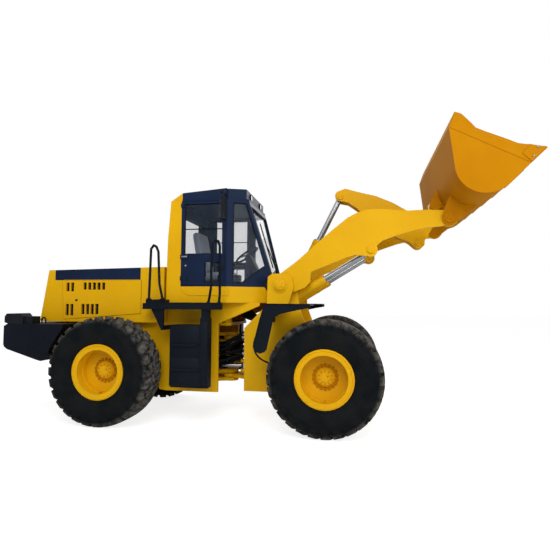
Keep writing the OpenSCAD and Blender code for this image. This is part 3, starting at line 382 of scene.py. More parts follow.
# acrylic, silvered glass, clear glass and cloth: sharp highlights, and none on the cloth
acrylic = {"scale": 150.0, "rough": (0.08, 0.2), "relief": 0.2, "ior": 1.49}
redLens = grained({"name": "red_acrylic_lens", "base": "#A5120E", "worn": "#8E0F0C", **acrylic})
amberLens = grained({"name": "amber_acrylic_lens", "base": "#D9730B", "worn": "#C7640A", **acrylic})
clearLens = grained({"name": "clear_acrylic_lens", "base": "#D5DADF", "worn": "#C3C9CF", **acrylic,
                     "rough": (0.06, 0.16)})
mirrorGlass = grained({"name": "silvered_mirror_glass", "base": "#D8DEE4", "worn": "#D0D6DC", "scale": 5.0,
                       "rough": (0.02, 0.05), "relief": 0.0, "metallic": 1.0})
tintedGlass = toughenedGlass({"name": "toughened_float_glass", "base": "#33455A", "alpha": 0.13})
seatCloth = wovenCloth({"name": "grey_woven_seat_cloth", "base": "#8A93A0", "yarn": "#B4BCC8"})

slotFinish = {
    "yellow_paint": yellowEnamel, "orange_paint": shadedYellowEnamel, "navy_paint": navyEnamel,
    "black_paint": blackEnamel, "tyre": tyreRubber, "chrome": chromedSteel, "steel": groundSteel,
    "glass": tintedGlass, "seat_cloth": seatCloth, "cast": castIron, "lamp": mouldedPlastic,
    "plastic": mouldedPlastic,
}
nodeFinish = {
    # the engine block and prop shaft are drawn in the dark casting instead of their slot's finish
    "engine_block": darkCasting, "prop_shaft": darkCasting,
    # the pins take the yellow paint's darker copy: painted shade
    "bucket_pins": shadedYellowEnamel, "link_pin": shadedYellowEnamel, "bellcrank_pin": shadedYellowEnamel,
}
for row in frame["record"]["subparts"]:
    body = nodes[row["node"]].data
    body.materials.clear()
    body.materials.append(nodeFinish.get(row["node"], slotFinish[row["material_slot"]]))
print("finishes on", len(nodes), "nodes")


# wheels: a carcass turned from its profile, with blocks of tread standing on it

tyreLook = {
    "radius": 740, "halfWidth": 260, "bead": 376, "barHeight": 36, "bars": 28, "barWidth": 128,
    "taper": 0.92, "skew": 0.62,
}
wheelAt = {"rear": -1515.0, "front": 1515.0}
trackHalf, hubHeight = 1025.0, 740.0


def carcassShape(look):
    # half a profile of (across, radius), mirrored and turned about the axle
    top, wide, bead = look["radius"] - look["barHeight"], look["halfWidth"], look["bead"]
    half = np.array([
        [195, 330], [196, bead - 2], [216, bead + 6], [228, bead + 12], [231, bead + 24], [226, bead + 30],
        [244, bead + 70], [wide - 6, bead + 130], [wide - 2, bead + 170], [wide - 2, bead + 176],
        [wide + 0, bead + 182], [wide - 2, bead + 188], [wide - 4, bead + 230], [wide - 12, top - 70],
        [wide - 26, top - 34], [wide - 52, top - 12], [wide - 100, top - 2], [wide - 190, top + 1],
    ], float)
    profile = np.vstack([half, half[::-1] * [-1, 1]])
    return lathe(profile, (0, 0, 0), (0, 1, 0), 88, True)


def treadBars(look):
    # a bar runs from low on the shoulder over the crown and past the middle, leaning more as it goes
    tall, top, wide = look["radius"], look["radius"] - look["barHeight"], look["halfWidth"]
    along = np.array([0, 0.06, 0.14, 0.24, 0.36, 0.5, 0.64, 0.78, 0.9, 1.0])
    stations = [0, 0.06, 0.14, 0.24, 0.4, 1]
    across = np.interp(along, [0, 0.06, 0.14, 0.24, 1], [wide - 5, wide - 4, wide - 14, wide - 46, 6])
    tip = np.interp(along, stations, [tall - 116, tall - 96, tall - 48, tall - 14, tall - 3, tall])
    foot = np.interp(along, stations, [top - 92, top - 84, top - 58, top - 30, top - 12, top - 12])
    width = look["barWidth"] * np.interp(along, [0, 0.14, 0.3, 0.7, 1], [0.86, 0.92, 1.0, 1.1, 0.86])
    lean = np.interp(along, [0, 0.25, 0.55, 1], [0.0, 0.04, 0.3, look["skew"]]) * 2 * math.pi / look["bars"]
    shoulder = np.array([0.47, 0.42]) * look["taper"]
    side = np.array([-0.5, -shoulder[0], -shoulder[1], shoulder[1], shoulder[0], 0.5])
    rise = np.array([0, 0.88, 1, 1, 0.88, 0])
    radius = foot[:, None] + (tip - foot)[:, None] * rise
    turn = lean[:, None] + side * width[:, None] / tall
    out = across[:, None] + 0 * turn + np.where(along[:, None] < 0.2, 5.0 * rise, 0)
    start = (np.arange(look["bars"]) * 2 * math.pi / look["bars"])[:, None, None]
    shapes = []
    for hand in (-1, 1):
        angle = hand * turn + start + (0 if hand > 0 else math.pi / look["bars"])
        points = np.stack([radius * np.cos(angle), hand * out + 0 * angle, radius * np.sin(angle)], -1)
        shapes += [gridShape(bar, caps=True) for bar in points]
        shapes += [gridShape(bar[:, [-1, 0]]) for bar in points]
    return shapes


tyreBase = merge([carcassShape(tyreLook)] + treadBars(tyreLook))

rimLook = {
    "disc": -16.0, "cover": 20.0, "flange": 220.0, "nuts": 18, "nutCircle": 149, "nutRadius": 15,
    "nutHeight": 26, "capBolts": 10, "capCircle": 84,
    "valve": [(0, 30, -292), (0, 90, -284), (0, 150, -280)],
}


def rimDress(look):
    # wheel nuts on the disc, the final-drive cover with its bolts and plug, the lock ring and the valve
    centre, axle = (0, 0, 0), (0, 1, 0)
    cover, flange = look["cover"], look["flange"]
    nutSpots = circlePoints((0, look["disc"], 0), axle, look["nutCircle"], look["nuts"])
    washers = [lathe([(0, 0), (0, 24), (4, 24), (5, 22), (5, 0)], spot, axle, 16) for spot in nutSpots]
    nuts = hexHeads(nutSpots, axle, look["nutRadius"], look["nutHeight"])
    step = lathe([(cover - 2, 0), (cover - 2, 99), (cover + 5, 99), (cover + 8, 96), (cover + 8, 68),
                  (cover + 18, 62), (cover + 22, 40), (cover + 23, 0)], centre, axle, 48)
    bolts = headRing((0, cover + 8, 0), 1, look["capCircle"], look["capBolts"], 10, 9)
    plug = hexHeads([(36, cover + 20, 18)], axle, 12, 10)
    ring = lathe([(flange - 3, 344), (flange + 5, 347), (flange + 8, 354), (flange + 5, 362),
                  (flange - 3, 366)], centre, axle, 72, True)
    gutter = lathe([(60, 296), (60, 288), (70, 285), (80, 288), (80, 296)], centre, axle, 72, True)
    valve = sweep(smoothPath(look["valve"]), 5)
    return [step, ring, gutter], washers + [nuts, bolts, plug, valve]


rimPlates, rimFixings = rimDress(rimLook)
for end, x in wheelAt.items():
    for hand, side in rightLeft.items():
        body = f"wheel_{end}_{hand}"
        place = lambda shape: moved(shape, x, side * trackHalf, hubHeight, side)
        tyre = makePiece(f"tyre_bars_{end}_{hand}", [place(tyreBase)], tyreRubber, body, 40)
        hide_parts(f"tyre_{end}_{hand}")
        covers, fixings = [place(s) for s in rimPlates], [place(s) for s in rimFixings]
        makePiece(f"rim_cover_{end}_{hand}", covers, yellowEnamel, body)
        # the nuts, bolts, plug and valve take the yellow paint's darker copy: painted shade that sets them off the
        # disc
        makePiece(f"rim_nuts_{end}_{hand}", fixings, shadedYellowEnamel, body)
print("wheels dressed")


# hood: louvre lips, a dark sheet of painted shade behind them, latches and the core behind the rear grille

# each group of louvres: where its first slot starts in x and z, how many slots, and how tall they are
louvreGroups = [(-2339, 1835, 2, 130), (-2062, 1860, 5, 105), (-2340, 1478, 2, 170), (-2086, 1500, 4, 150)]
hoodLook = {
    "face": 745, "pitch": 74, "slot": 54, "lipRadius": 5, "lipInset": 3, "shadeMargin": 12,
    "shadeDepth": (706, 713), "lockAt": (-2167, 1705),
}

lips, shadeSheets = [], []
lipY, margin = hoodLook["face"] - 2, hoodLook["shadeMargin"]
near, far = hoodLook["shadeDepth"]
for x, z, count, height in louvreGroups:
    for k in range(count):
        at = x + k * hoodLook["pitch"]
        # a pressed lip: half a round bar along each edge of the slot
        for edge in (at - hoodLook["lipInset"], at + hoodLook["slot"] + hoodLook["lipInset"]):
            lips.append(sweep([(edge, lipY, z + 4), (edge, lipY, z + height - 4)], hoodLook["lipRadius"], 8))
    groupEnd = x + (count - 1) * hoodLook["pitch"] + hoodLook["slot"]
    # a thin black sheet close behind each group of slots: painted shade inside the hood
    shadeSheets.append(roundBox((x - margin, near, z - margin), (groupEnd + margin, far, z + height + margin), 3))
x, z = hoodLook["lockAt"]
lock = lathe([(743, 0), (743, 18), (748, 18), (750, 15), (750, 0)], (x, 0, z), (0, 1, 0), 24)
paddle = roundBox((x - 4, 748, z - 11), (x + 4, 754, z + 11), 2)
for hand, side in rightLeft.items():
    body = f"hood_door_{hand}"
    makePiece(f"louvre_lips_{hand}", lips, yellowEnamel, body, side=side)
    makePiece(f"louvre_shade_sheets_{hand}", shadeSheets, hoseRubber, body, side=side)
    makePiece(f"hood_lock_{hand}", [lock, paddle], mouldedPlastic, body, side=side)

# the radiator core: a slab of fine fins close behind the rear grille
coreLook = {"fins": 60, "reach": 530, "finHalf": 2}
fins = [roundBox((-2655, -540, 1490), (-2640, 540, 1930), 4)]
finHalf = coreLook["finHalf"]
for y in np.linspace(-coreLook["reach"], coreLook["reach"], coreLook["fins"]):
    fins.append(roundBox((-2661, y - finHalf, 1495), (-2652, y + finHalf, 1925), 1.5, 2))
makePiece("radiator_core", fins, darkCasting, "rear")
print("hood dressed")


# cab: rubbers round the glass, door fittings, trim behind the seat, wiper, lamps and mirrors

cabLook = {
    "half": 780, "glassAt": 762, "sash": 2718, "noseStart": 130, "noseTip": 745, "noseHalf": 395,
    "doorWindow": ((-491, 2362), (65, 3080)), "lowLight": ((-192, 1961), (19, 2253)),
    "quarter": [(206, 1957), (314, 1957), (613, 2213), (369, 3090), (206, 3090)],
    "sillPanel": [(-541, 1893), (160, 1893), (160, 1775), (-420, 1775), (-470, 1800), (-541, 1860)],
}
doorLook = {
    "strap": ((-530, 794, 2314), (-444, 799, 2336)), "lockAt": (-470, 0, 2198), "gripX": 30,
    "gripArch": [(778, 2250), (806, 2262), (812, 2290), (812, 2310), (806, 2336), (778, 2348)],
    "cup": ((30, 776, 2120), (90, 786, 2210)),
}


def rubber(points, radius=9):
    # a round seal along straight edges from corner to corner, eight steps to an edge
    corners = np.asarray(points, float)
    steps = np.linspace(0, 1, 8, endpoint=False)[None, :, None]
    path = corners[:, None] + (np.roll(corners, -1, 0) - corners)[:, None] * steps
    return sweep(path.reshape(-1, 3), radius, 8, True)


def upright(low, high, y):
    # the corners of an upright rectangle in x and z
    return [(low[0], y, low[1]), (high[0], y, low[1]), (high[0], y, high[1]), (low[0], y, high[1])]


def noseY(x):
    # outer half width of the cab where its front narrows
    slope = (cabLook["half"] - cabLook["noseHalf"]) / (cabLook["noseTip"] - cabLook["noseStart"])
    return cabLook["half"] - (x - cabLook["noseStart"]) * slope


(left, _), (right, _) = cabLook["doorWindow"]
sashBar = roundBox((left - 2, 754, cabLook["sash"] - 7), (right + 2, 768, cabLook["sash"] + 7), 4)
rubbers = [rubber(upright(*cabLook["doorWindow"], cabLook["glassAt"]), 11), sashBar]
lock = lathe([(779, 0), (779, 13), (784, 13), (786, 10), (786, 0)], doorLook["lockAt"], (0, 1, 0), 24)
straps = [roundBox(*doorLook["strap"], 2), lock]
grip = sweep(smoothPath([(doorLook["gripX"], y, z) for y, z in doorLook["gripArch"]]), 8)
handles = [grip, roundBox(*doorLook["cup"], 6)]
lowRubber = rubber(upright(*cabLook["lowLight"], cabLook["glassAt"]), 7)
quarter = rubber([(x, noseY(x) - 8, z) for x, z in cabLook["quarter"]], 9)
# a shallow raised panel below the door, its rear lower corner cut off
panel = plate(cabLook["sillPanel"], 778, 786, 5)
for hand, side in rightLeft.items():
    body = f"cab_door_{hand}"
    makePiece(f"door_rubbers_{hand}", rubbers, hoseRubber, body, side=side)
    makePiece(f"door_straps_{hand}", straps, groundSteel, body, side=side)
    makePiece(f"door_grip_{hand}", handles, mouldedPlastic, body, side=side)
    makePiece(f"door_low_rubber_{hand}", [lowRubber], hoseRubber, body, side=side)
    makePiece(f"quarter_rubber_{hand}", [quarter], hoseRubber, "rear", side=side)
    makePiece(f"sill_panel_{hand}", [panel], yellowEnamel, "rear", side=side)

screenLook = {"foot": (695, 2110), "head": (405, 3130)}


def screenX(z):
    # the front glass leans straight from its foot to its head
    (footX, footZ), (headX, headZ) = screenLook["foot"], screenLook["head"]
    return footX - (z - footZ) * (footX - headX) / (headZ - footZ)


screenHalf = [(650, 340, 2010), (693, 369, 2110), (screenX(2160) - 2, 383, 2160),
              (screenX(3055) - 2, 540, 3055)]
screen = screenHalf + [(x, -y, z) for x, y, z in screenHalf[::-1]]
rearWindow = [(-748, -520, 2280), (-748, 520, 2280), (-730, 520, 2980), (-730, -520, 2980)]
makePiece("screen_rubber", [rubber(screen, 9)], hoseRubber, "rear")
makePiece("rear_window_rubber", [rubber(rearWindow, 10)], hoseRubber, "rear")

# grey-black trim on the inside of the rear panel, in strips round the window, drawn near-black: partly its own
# colour and partly painted shade inside the cab
liningLook = {
    "side": 728, "thick": 4, "foot": 1912, "top": 3108, "windowHalf": 524, "sill": 2276, "head": 2986,
    "wall": [(-702, 1912), (-690, 2569), (-649, 3108)],
    "sidePlate": [(-692, 1912), (-545, 1912), (-545, 3108), (-640, 3108), (-680, 2569)],
    "reveal": [(-744, 2283), (-690, 2283), (-684, 2569), (-654, 2977), (-724, 2977)],
}


def wallStrip(low, high, inner, outer):
    # a strip of trim that follows the wall's lean between two heights
    wallX, wallZ = zip(*liningLook["wall"])
    heights = [low] + [z for z in wallZ if low < z < high] + [high]
    wall = [(np.interp(z, wallZ, wallX), z) for z in heights]
    return plate([(x + 1, z) for x, z in wall] + [(x + 8, z) for x, z in wall[::-1]], inner, outer, 1)


half, foot, top = liningLook["windowHalf"], liningLook["foot"], liningLook["top"]
lining = [wallStrip(foot, liningLook["sill"], -half, half), wallStrip(liningLook["head"], top, -half, half)]
# a near-black strip under the roof: painted shade over the ceiling
lining.append(roundBox((-646, -727, 3106), (-545, 727, 3113), 2, 2))
for side in (-1, 1):
    lining.append(onSide(wallStrip(foot, top, half, 727), side))
    inner = liningLook["side"] - liningLook["thick"]
    lining.append(onSide(plate(liningLook["sidePlate"], inner, liningLook["side"], 1), side))
    # an edge strip by the door, and the reveal of the rear window
    lining.append(onSide(roundBox((-545, 722, 1912), (-536, 744, 3117), 2, 2), side))
    lining.append(onSide(plate(liningLook["reveal"], 514, 527, 2), side))
lining.append(roundBox((-545, -744, 3096), (-536, 744, 3130), 2, 2))
lining.append(roundBox((-724, -521, 2973), (-654, 521, 2989), 2, 2))
lining.append(roundBox((-744, -521, 2273), (-690, 521, 2287), 2, 2))
makePiece("cab_lining", lining, mouldedPlastic, "rear")

wiperLook = {"armRadius": 8, "bladeRadius": 9, "bladeY": -230, "bladeMiddle": 2520, "bladeLean": 0.12,
             "bladeHeights": [2200, 2350, 2520, 2700, 2860]}
armPath = smoothPath([(654, -60, 1980), (715, -75, 2060), (screenX(2160) + 34, -100, 2160),
                      (screenX(2420) + 30, -190, 2420), (screenX(2520) + 18, -230, 2520)])
bladeZ = np.array(wiperLook["bladeHeights"])
bladeY = wiperLook["bladeY"] - (bladeZ - wiperLook["bladeMiddle"]) * wiperLook["bladeLean"]
bladePath = np.stack([screenX(bladeZ) + 14, bladeY, bladeZ], -1)
hub = lathe([(-14, 0), (-14, 22), (20, 22), (26, 14), (26, 0)], (638, -60, 1982), (0.914, 0, -0.406), 20)
wiper = [sweep(armPath, wiperLook["armRadius"]), sweep(bladePath, wiperLook["bladeRadius"], 8), hub]
makePiece("wiper", wiper, mouldedPlastic, "rear")

roofLamp = {
    "at": (365, 330, 3232), "rim": [(0, 0), (0, 55), (12, 57), (16, 55), (16, 49), (11, 47), (11, 0)],
    "lens": [(10, 0), (10, 47), (13, 46), (15, 30), (16, 0)],
}
lampRims, lampLenses = [], []
for side in (-1, 1):
    at = np.array(roofLamp["at"]) * [1, side, 1]
    lampRims.append(lathe(roofLamp["rim"], at, (1, 0, 0), 32))
    lampLenses.append(lathe(roofLamp["lens"], at, (1, 0, 0), 32))
makePiece("roof_lamp_rims", lampRims, mouldedPlastic, "rear")
makePiece("roof_lamp_lenses", lampLenses, clearLens, "rear")
glassFaces = [onSide(roundBox((108, 875, 2827), (113, 1045, 3098), 2), side) for side in (-1, 1)]
makePiece("mirror_glasses", glassFaces, mirrorGlass, "rear")
print("cab dressed")


# seat: crowned cushions on a boxed base, with a console of levers beside it

padLook = {
    "seat_cushion": {"length": 510, "width": 520, "thick": 130, "crown": 20, "channels": (-0.4, 0.2),
                     "tip": 3, "at": (-215, 2070)},
    "back_cushion": {"length": 640, "width": 490, "thick": 120, "crown": 18, "channels": (-0.45, 0.0, 0.45),
                     "tip": 101, "at": (-468, 2445)},
}
channelDepth = 7


def cushion(look):
    # a superellipse section across the thickness, carried along the length and drawn in at the ends,
    # whose upper face rises in the middle by a cosine and is sewn in at the channels
    u = np.linspace(-1, 1, 33)
    a = np.linspace(0, 2 * math.pi, 65)[:-1]
    end = (1 - np.abs(u) ** 6) ** (1 / 6)
    shrink = 0.82 + 0.18 * end
    c, s = np.cos(a), np.sin(a)
    y = np.sign(c) * np.abs(c) ** 0.35 * look["width"] / 2
    z = np.sign(s) * np.abs(s) ** 0.5 * look["thick"] / 2
    puff = look["crown"] * np.cos(math.pi / 2 * np.clip(y / (look["width"] / 2), -1, 1)) * (z > 0)
    groove = np.exp(-((u[:, None] - np.array(look["channels"])) / 0.035) ** 2).sum(-1) * channelDepth
    x = u[:, None] * look["length"] / 2 + 0 * a
    height = (z + puff) * np.maximum(end, 0.05)[:, None] - groove[:, None] * (z > 0)
    points = np.stack([x, y * shrink[:, None], height], -1)
    return turned(gridShape(points, closeAcross=True, caps=True), look["tip"], look["at"])


for name, look in padLook.items():
    pad = makePiece(name, [cushion(look)], seatCloth, "rear", 60)

seatLook = {
    "bellows": 7, "bellowsPitch": 26,
    # armrests and their posts: low and high corner in x and z, place and half width across, rounding
    "arms": [((-400, 2305), (-40, 2350), 285, 32, 16), ((-395, 2060), (-340, 2310), 275, 22, 10)],
}
base = [roundBox((-420, -200, 1722), (-60, 200, 1800), 12)]
base.append(roundBox((-400, -190, 1960), (-80, 190, 2012), 10))
for k in range(seatLook["bellows"]):
    z = 1800 + k * seatLook["bellowsPitch"]
    base += [sweep([(x, -170, z), (x, 170, z)], 15, 8) for x in (-390, -90)]
base.append(roundBox((-385, -175, 1790), (-95, 175, 1970), 10))
for low, high, at, wide, radius in seatLook["arms"]:
    for s in (-1, 1):
        base.append(roundBox((low[0], s * at - wide, low[1]), (high[0], s * at + wide, high[1]), radius))
seatBase = makePiece("seat_base", base, mouldedPlastic, "rear")
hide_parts("cab_seat")

leverLook = {"count": 3, "pitch": 50, "stem": [(60, -330, 2080), (66, -330, 2180), (80, -328, 2260)],
             "knobAt": (82, -328, 2272), "knob": [(-20, 0), (-18, 12), (0, 20), (16, 16), (22, 0)]}
shifts = [np.array([leverLook["pitch"] * k, 0, 0]) for k in range(leverLook["count"])]
levers = [sweep(smoothPath(np.array(leverLook["stem"]) + shift), 7) for shift in shifts]
knobs = [lathe(leverLook["knob"], leverLook["knobAt"] + shift, (0.15, 0, 1), 16) for shift in shifts]
console = [roundBox((-120, -400, 1722), (220, -260, 2090), 14)]
makePiece("side_console", console + levers + knobs, mouldedPlastic, "rear")
print("seat made")


# rear frame: bolts, studs on the platforms, rail feet, box panels, tail lenses and lifting loops

frameLook = {
    "plateY": 600, "mountBolts": [(x, z) for x in (-2380, -2250) for z in (1050, 1250)],
    "rowBolts": [(-480 + 55 * k, 1340) for k in range(8)], "deck": 1670, "railY": 985,
    "railFeet": [(-915, 1720), (-720, 1720), (-60, 1670), (90, 1670)],
    "panels": [((-585, 945), (-178, 1360)), ((-585, 545), (-178, 935)), ((-160, 545), (-62, 1420))],
}
bolts, studs, feet, panels = [], [], [], []
for side in (-1, 1):
    outward, plateY = (0, side, 0), side * frameLook["plateY"]
    bolts.append(hexHeads([(x, plateY, z) for x, z in frameLook["mountBolts"]], outward, 22, 18))
    bolts.append(hexHeads([(x, plateY, z) for x, z in frameLook["rowBolts"]], outward, 11, 9))
    xs, ys = np.meshgrid(np.arange(-660, 70, 62), np.arange(800, 990, 46))
    spots = np.stack([xs.ravel(), side * ys.ravel(), np.full(xs.size, float(frameLook["deck"]))], -1)
    studs.append(hexHeads(spots, (0, 0, 1), 13, 4))
    for x, z in frameLook["railFeet"]:
        foot = [(0, 0), (0, 38), (8, 36), (12, 24), (26, 20), (26, 0)]
        feet.append(lathe(foot, (x, side * frameLook["railY"], z), (0, 0, 1), 24))
    for low, high in frameLook["panels"]:
        panels.append(onSide(roundBox((low[0], 998, low[1]), (high[0], 1006, high[1]), 4), side))
makePiece("rear_frame_bolts", bolts, yellowEnamel, "rear")
makePiece("platform_studs", studs, blackEnamel, "rear")
makePiece("rail_feet", feet, blackEnamel, "rear")
makePiece("step_box_panels", panels, blackEnamel, "rear")

tailLook = {"first": 985, "pitch": 65, "half": 27,
            "lenses": {"red": redLens, "amber": amberLens, "clear": clearLens}}
for k, (key, lens) in enumerate(tailLook["lenses"].items()):
    pair = []
    for side in (-1, 1):
        y = side * (tailLook["first"] + tailLook["pitch"] * k)
        pair.append(roundBox((-3021, y - tailLook["half"], 1392), (-3008, y + tailLook["half"], 1464), 5))
    makePiece(f"tail_lens_{key}", pair, lens, "rear")
loopArch = [(0, 1366), (0, 1420), (30, 1446), (60, 1420), (60, 1366)]
loops = [sweep(smoothPath([(x + step, side * 800, z) for step, z in loopArch]), 11)
         for side in (-1, 1) for x in (-2860, -2680)]
makePiece("counterweight_loops", loops, blackEnamel, "rear")
print("frame dressed")


# hoses that cross the steering pivot, with steel ends on each frame

hoseLook = {
    "radius": 17, "sag": 60, "sagStep": 14, "faces": {"rear": (-562, 1), "front": (342, -1)},
    # y and z of each hose's ends on the left, in the order in which they sag more
    "ends": [(300, 980), (245, 1035), (365, 1010), (205, 925), (420, 950), (330, 900), (270, 1215),
             (330, 1250), (390, 1220), (440, 1180), (360, 1165)],
    # x, share of the ends' y, and share of the sag
    "route": [(-561, 1, 0), (-500, 1, 0), (-300, 0.97, 0.5), (-60, 0.93, 1), (140, 0.97, 0.5), (290, 1, 0),
              (341, 1, 0)],
    "ferrule": [(0, 0), (0, 26), (14, 26), (16, 22), (58, 22), (62, 19), (62, 0)],
}
for name, side in rightLeft.items():
    ferrules = {"rear": [], "front": []}
    hoses = []
    for k, (y, z) in enumerate(hoseLook["ends"]):
        y = side * y
        sag = hoseLook["sag"] + hoseLook["sagStep"] * k
        path = smoothPath([(x, y * share, z - sag * drop) for x, share, drop in hoseLook["route"]], 8)
        hoses.append(sweep(path, hoseLook["radius"], 10))
        for frameName, (x, step) in hoseLook["faces"].items():
            ferrules[frameName].append(lathe(hoseLook["ferrule"], (x, y, z), (step, 0, 0), 12))
    bundle = makePiece(f"pivot_hoses_{name}", hoses, hoseRubber, None, 60)
    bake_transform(bundle)
    for frameName, shapes in ferrules.items():
        makePiece(f"hose_ends_{frameName}_{name}", shapes, groundSteel, frameName)

# a row of valve hoses from the cab's floor down to the front frame
valveLook = {
    "reach": 400, "count": 9, "radius": 20,
    "route": [(200, 1678), (206, 1600), (270, 1500), (420, 1440), (580, 1450), (699, 1470)],
    "ferrule": [(0, 0), (0, 28), (14, 28), (16, 24), (46, 24), (50, 21), (50, 0)],
}
valveHoses, valveEnds = [], {"rear": [], "front": []}
for y in np.linspace(-valveLook["reach"], valveLook["reach"], valveLook["count"]):
    path = smoothPath([(x, y, z) for x, z in valveLook["route"]], 8)
    valveHoses.append(sweep(path, valveLook["radius"], 10))
    valveEnds["rear"].append(lathe(valveLook["ferrule"], (200, y, 1681), (0.04, 0, -1), 12))
    valveEnds["front"].append(lathe(valveLook["ferrule"], (701, y, 1470), (-1, 0, -0.15), 12))
bundle = makePiece("valve_hoses", valveHoses, hoseRubber, None, 60)
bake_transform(bundle)
for frameName, shapes in valveEnds.items():
    makePiece(f"valve_ends_{frameName}", shapes, groundSteel, frameName)
print("hoses laid")


# boom: caps and bolts on its pins; points on the boom are measured along it from its hinge

boomLook = {"at": (870.0, 1932.0), "angle": 21.4, "length": 2420, "knee": (1320, -7), "crank": (1240, 955),
            "linkPin": (2020, -123), "crossTube": (1400, 0, 200)}
boomAt = boomLook["at"]


def onBoom(shape):
    # from the boom's own line to where the boom stands
    return turned(shape, boomLook["angle"], boomAt)


def boomPoint(x, z):
    # where a point on the boom stands, in x and z
    c, s = math.cos(math.radians(boomLook["angle"])), math.sin(math.radians(boomLook["angle"]))
    return boomAt[0] + x * c - z * s, boomAt[1] + x * s + z * c


pinCap = [(0, 0), (0, 78), (8, 78), (12, 72), (12, 40), (18, 34), (18, 0)]
kneeCap = [(0, 0), (0, 52), (6, 50), (10, 42), (10, 0)]
weldBead = [(580, 75), (566, 77), (562, 84), (568, 92), (580, 94)]
hingeRing = [(640, 92), (646, 92), (648, 96), (648, 118), (646, 122), (640, 122)]
caps, capBolts, tipCaps, kneeCaps, crankCaps = [], [], [], [], []
for side in (-1, 1):
    outward = (0, side, 0)
    caps.append(lathe(pinCap, (boomAt[0], side * 725, boomAt[1]), outward, 36))
    capBolts.append(headRing((boomAt[0], side * 737, boomAt[1]), side, 56, 6, 9, 8))
    tip = (boomLook["length"], side * 698, 0)
    tipCaps.append(onBoom(headRing(tip, side, 42, 4, 9, 8)))
    tipCaps.append(onBoom(lathe([(0, 0), (0, 30), (8, 28), (8, 0)], tip, outward, 28)))
    kneeX, kneeZ = boomLook["knee"]
    kneeCaps.append(onBoom(lathe(kneeCap, (kneeX, side * 652, kneeZ), outward, 32)))
    kneeCaps.append(onBoom(headRing((kneeX, side * 662, kneeZ), side, 30, 3, 9, 8)))
    # a bead of weld round the cross tube where it meets the plate, and a ring on the hinge boss
    kneeCaps.append(onBoom(lathe(weldBead, boomLook["crossTube"], outward, 48, True)))
    kneeCaps.append(onBoom(lathe(hingeRing, (0, 0, 0), outward, 48, True)))
    for x, z in (boomLook["crank"], boomLook["linkPin"]):
        crankCaps.append(onBoom(headRing((x, side * 146, z), side, 34, 3, 9, 8)))
        crankCaps.append(onBoom(lathe([(0, 0), (0, 26), (5, 24), (5, 0)], (x, side * 146, z), outward, 24)))
makePiece("tower_pin_caps", caps + capBolts, yellowEnamel, "front")
# the caps on the bucket's pins take the yellow paint's darker copy: painted shade
makePiece("bucket_pin_caps", tipCaps, shadedYellowEnamel, "bucket_pins")
makePiece("boom_caps", kneeCaps, yellowEnamel, "boom")
makePiece("bellcrank_caps", crankCaps, yellowEnamel, "bellcrank")
print("boom dressed")


# cylinders: each is dressed along x and then laid from its foot towards its rod's eye

liftLook = {"foot": (900.0, 1676.0), "eye": boomPoint(*boomLook["knee"]), "radius": 68, "length": 665,
            "y": 440}
tiltLook = {"foot": (945.0, 1810.0), "eye": boomPoint(*boomLook["crank"]), "radius": 78, "length": 900}
pipeOut, pipeRadius = 10, 11


def cylinderDress(radius, length):
    # oil pipe from the base to the gland with two clamps, and the gland's collar with its bolts
    sunk, low, high = radius - 4, radius + pipeOut, radius + pipeOut + 6
    route = [(110, sunk), (120, low), (170, high), (length * 0.5, high), (length - 120, high),
             (length - 62, low), (length - 50, sunk)]
    pipe = sweep(smoothPath([(x, 0, z) for x, z in route]), pipeRadius, 10)
    collar = lathe([(length - 14, radius + 3), (length - 10, radius - 6), (length + 12, radius - 8),
                    (length + 14, radius - 14), (length + 14, radius - 24), (length - 14, radius - 24)],
                   (0, 0, 0), (1, 0, 0), 40, True)
    heads = hexHeads(circlePoints((length - 10, 0, 0), (1, 0, 0), radius - 14, 8), (1, 0, 0), 8, 10)
    clamps = [lathe([(x - 12, radius - 1), (x - 12, radius + 4), (x + 12, radius + 4), (x + 12, radius - 1)],
                    (0, 0, 0), (1, 0, 0), 40, True) for x in (length * 0.32, length * 0.68)]
    return [pipe] + clamps, [collar, heads]


def laid(shapes, look, y=0):
    # turned to the line from foot to eye, with x 0 on the foot
    (footX, footZ), (eyeX, eyeZ) = look["foot"], look["eye"]
    angle = math.degrees(math.atan2(eyeZ - footZ, eyeX - footX))
    return [moved(turned(shape, angle, look["foot"]), 0, y, 0) for shape in shapes]


pipes, glands = cylinderDress(liftLook["radius"], liftLook["length"])
for hand, side in rightLeft.items():
    body, y = f"lift_barrel_{hand}", side * liftLook["y"]
    makePiece(f"lift_pipes_{hand}", laid(pipes, liftLook, y), yellowEnamel, body)
    makePiece(f"lift_gland_{hand}", laid(glands, liftLook, y), groundSteel, body)
pipes, glands = cylinderDress(tiltLook["radius"], tiltLook["length"])
# the pipe lies on the right of this barrel, clear of the cab when the boom is up
besidePipes = [(shape[0][:, [0, 2, 1]] * [1, -1, 1], shape[1]) for shape in pipes]
makePiece("tilt_pipes", laid(besidePipes, tiltLook), yellowEnamel, "tilt_barrel")
makePiece("tilt_gland", laid(glands, tiltLook), groundSteel, "tilt_barrel")
print("cylinders dressed")


# bucket: plough bolts along the edge, wear strips under the floor, cutters on the sides; fender edging

bucketLook = {
    "angle": 44.0, "hinge": (-1160, 187), "edgeBolts": 18, "boltReach": 1260, "boltRows": (-110, -200),
    "strips": 5, "stripReach": 1100, "sideFace": 1366, "cutterFace": 1376,
    "freeEdge": [(-411, 1043), (-380, 977), (-380, 905), (-382, 818), (-388, 735), (-354, 640), (-300, 510),
                 (-249, 385), (-206, 268), (-154, 195), (-120, 157), (-64, 72), (-30, 24)],
    "cutter": [(-258, 6), (-258, 150), (-124, 154), (-66, 72), (-36, 8)],
    "cutterBolts": [(-97, 84), (-200, 40)],
}


def onBucket(shape):
    # bucket coordinates run from its cutting edge: brought to the hinge, then turned about the boom's tip
    hingeX, hingeZ = bucketLook["hinge"]
    return turned(moved(shape, -hingeX, 0, -hingeZ), bucketLook["angle"], boomPoint(boomLook["length"], 0))


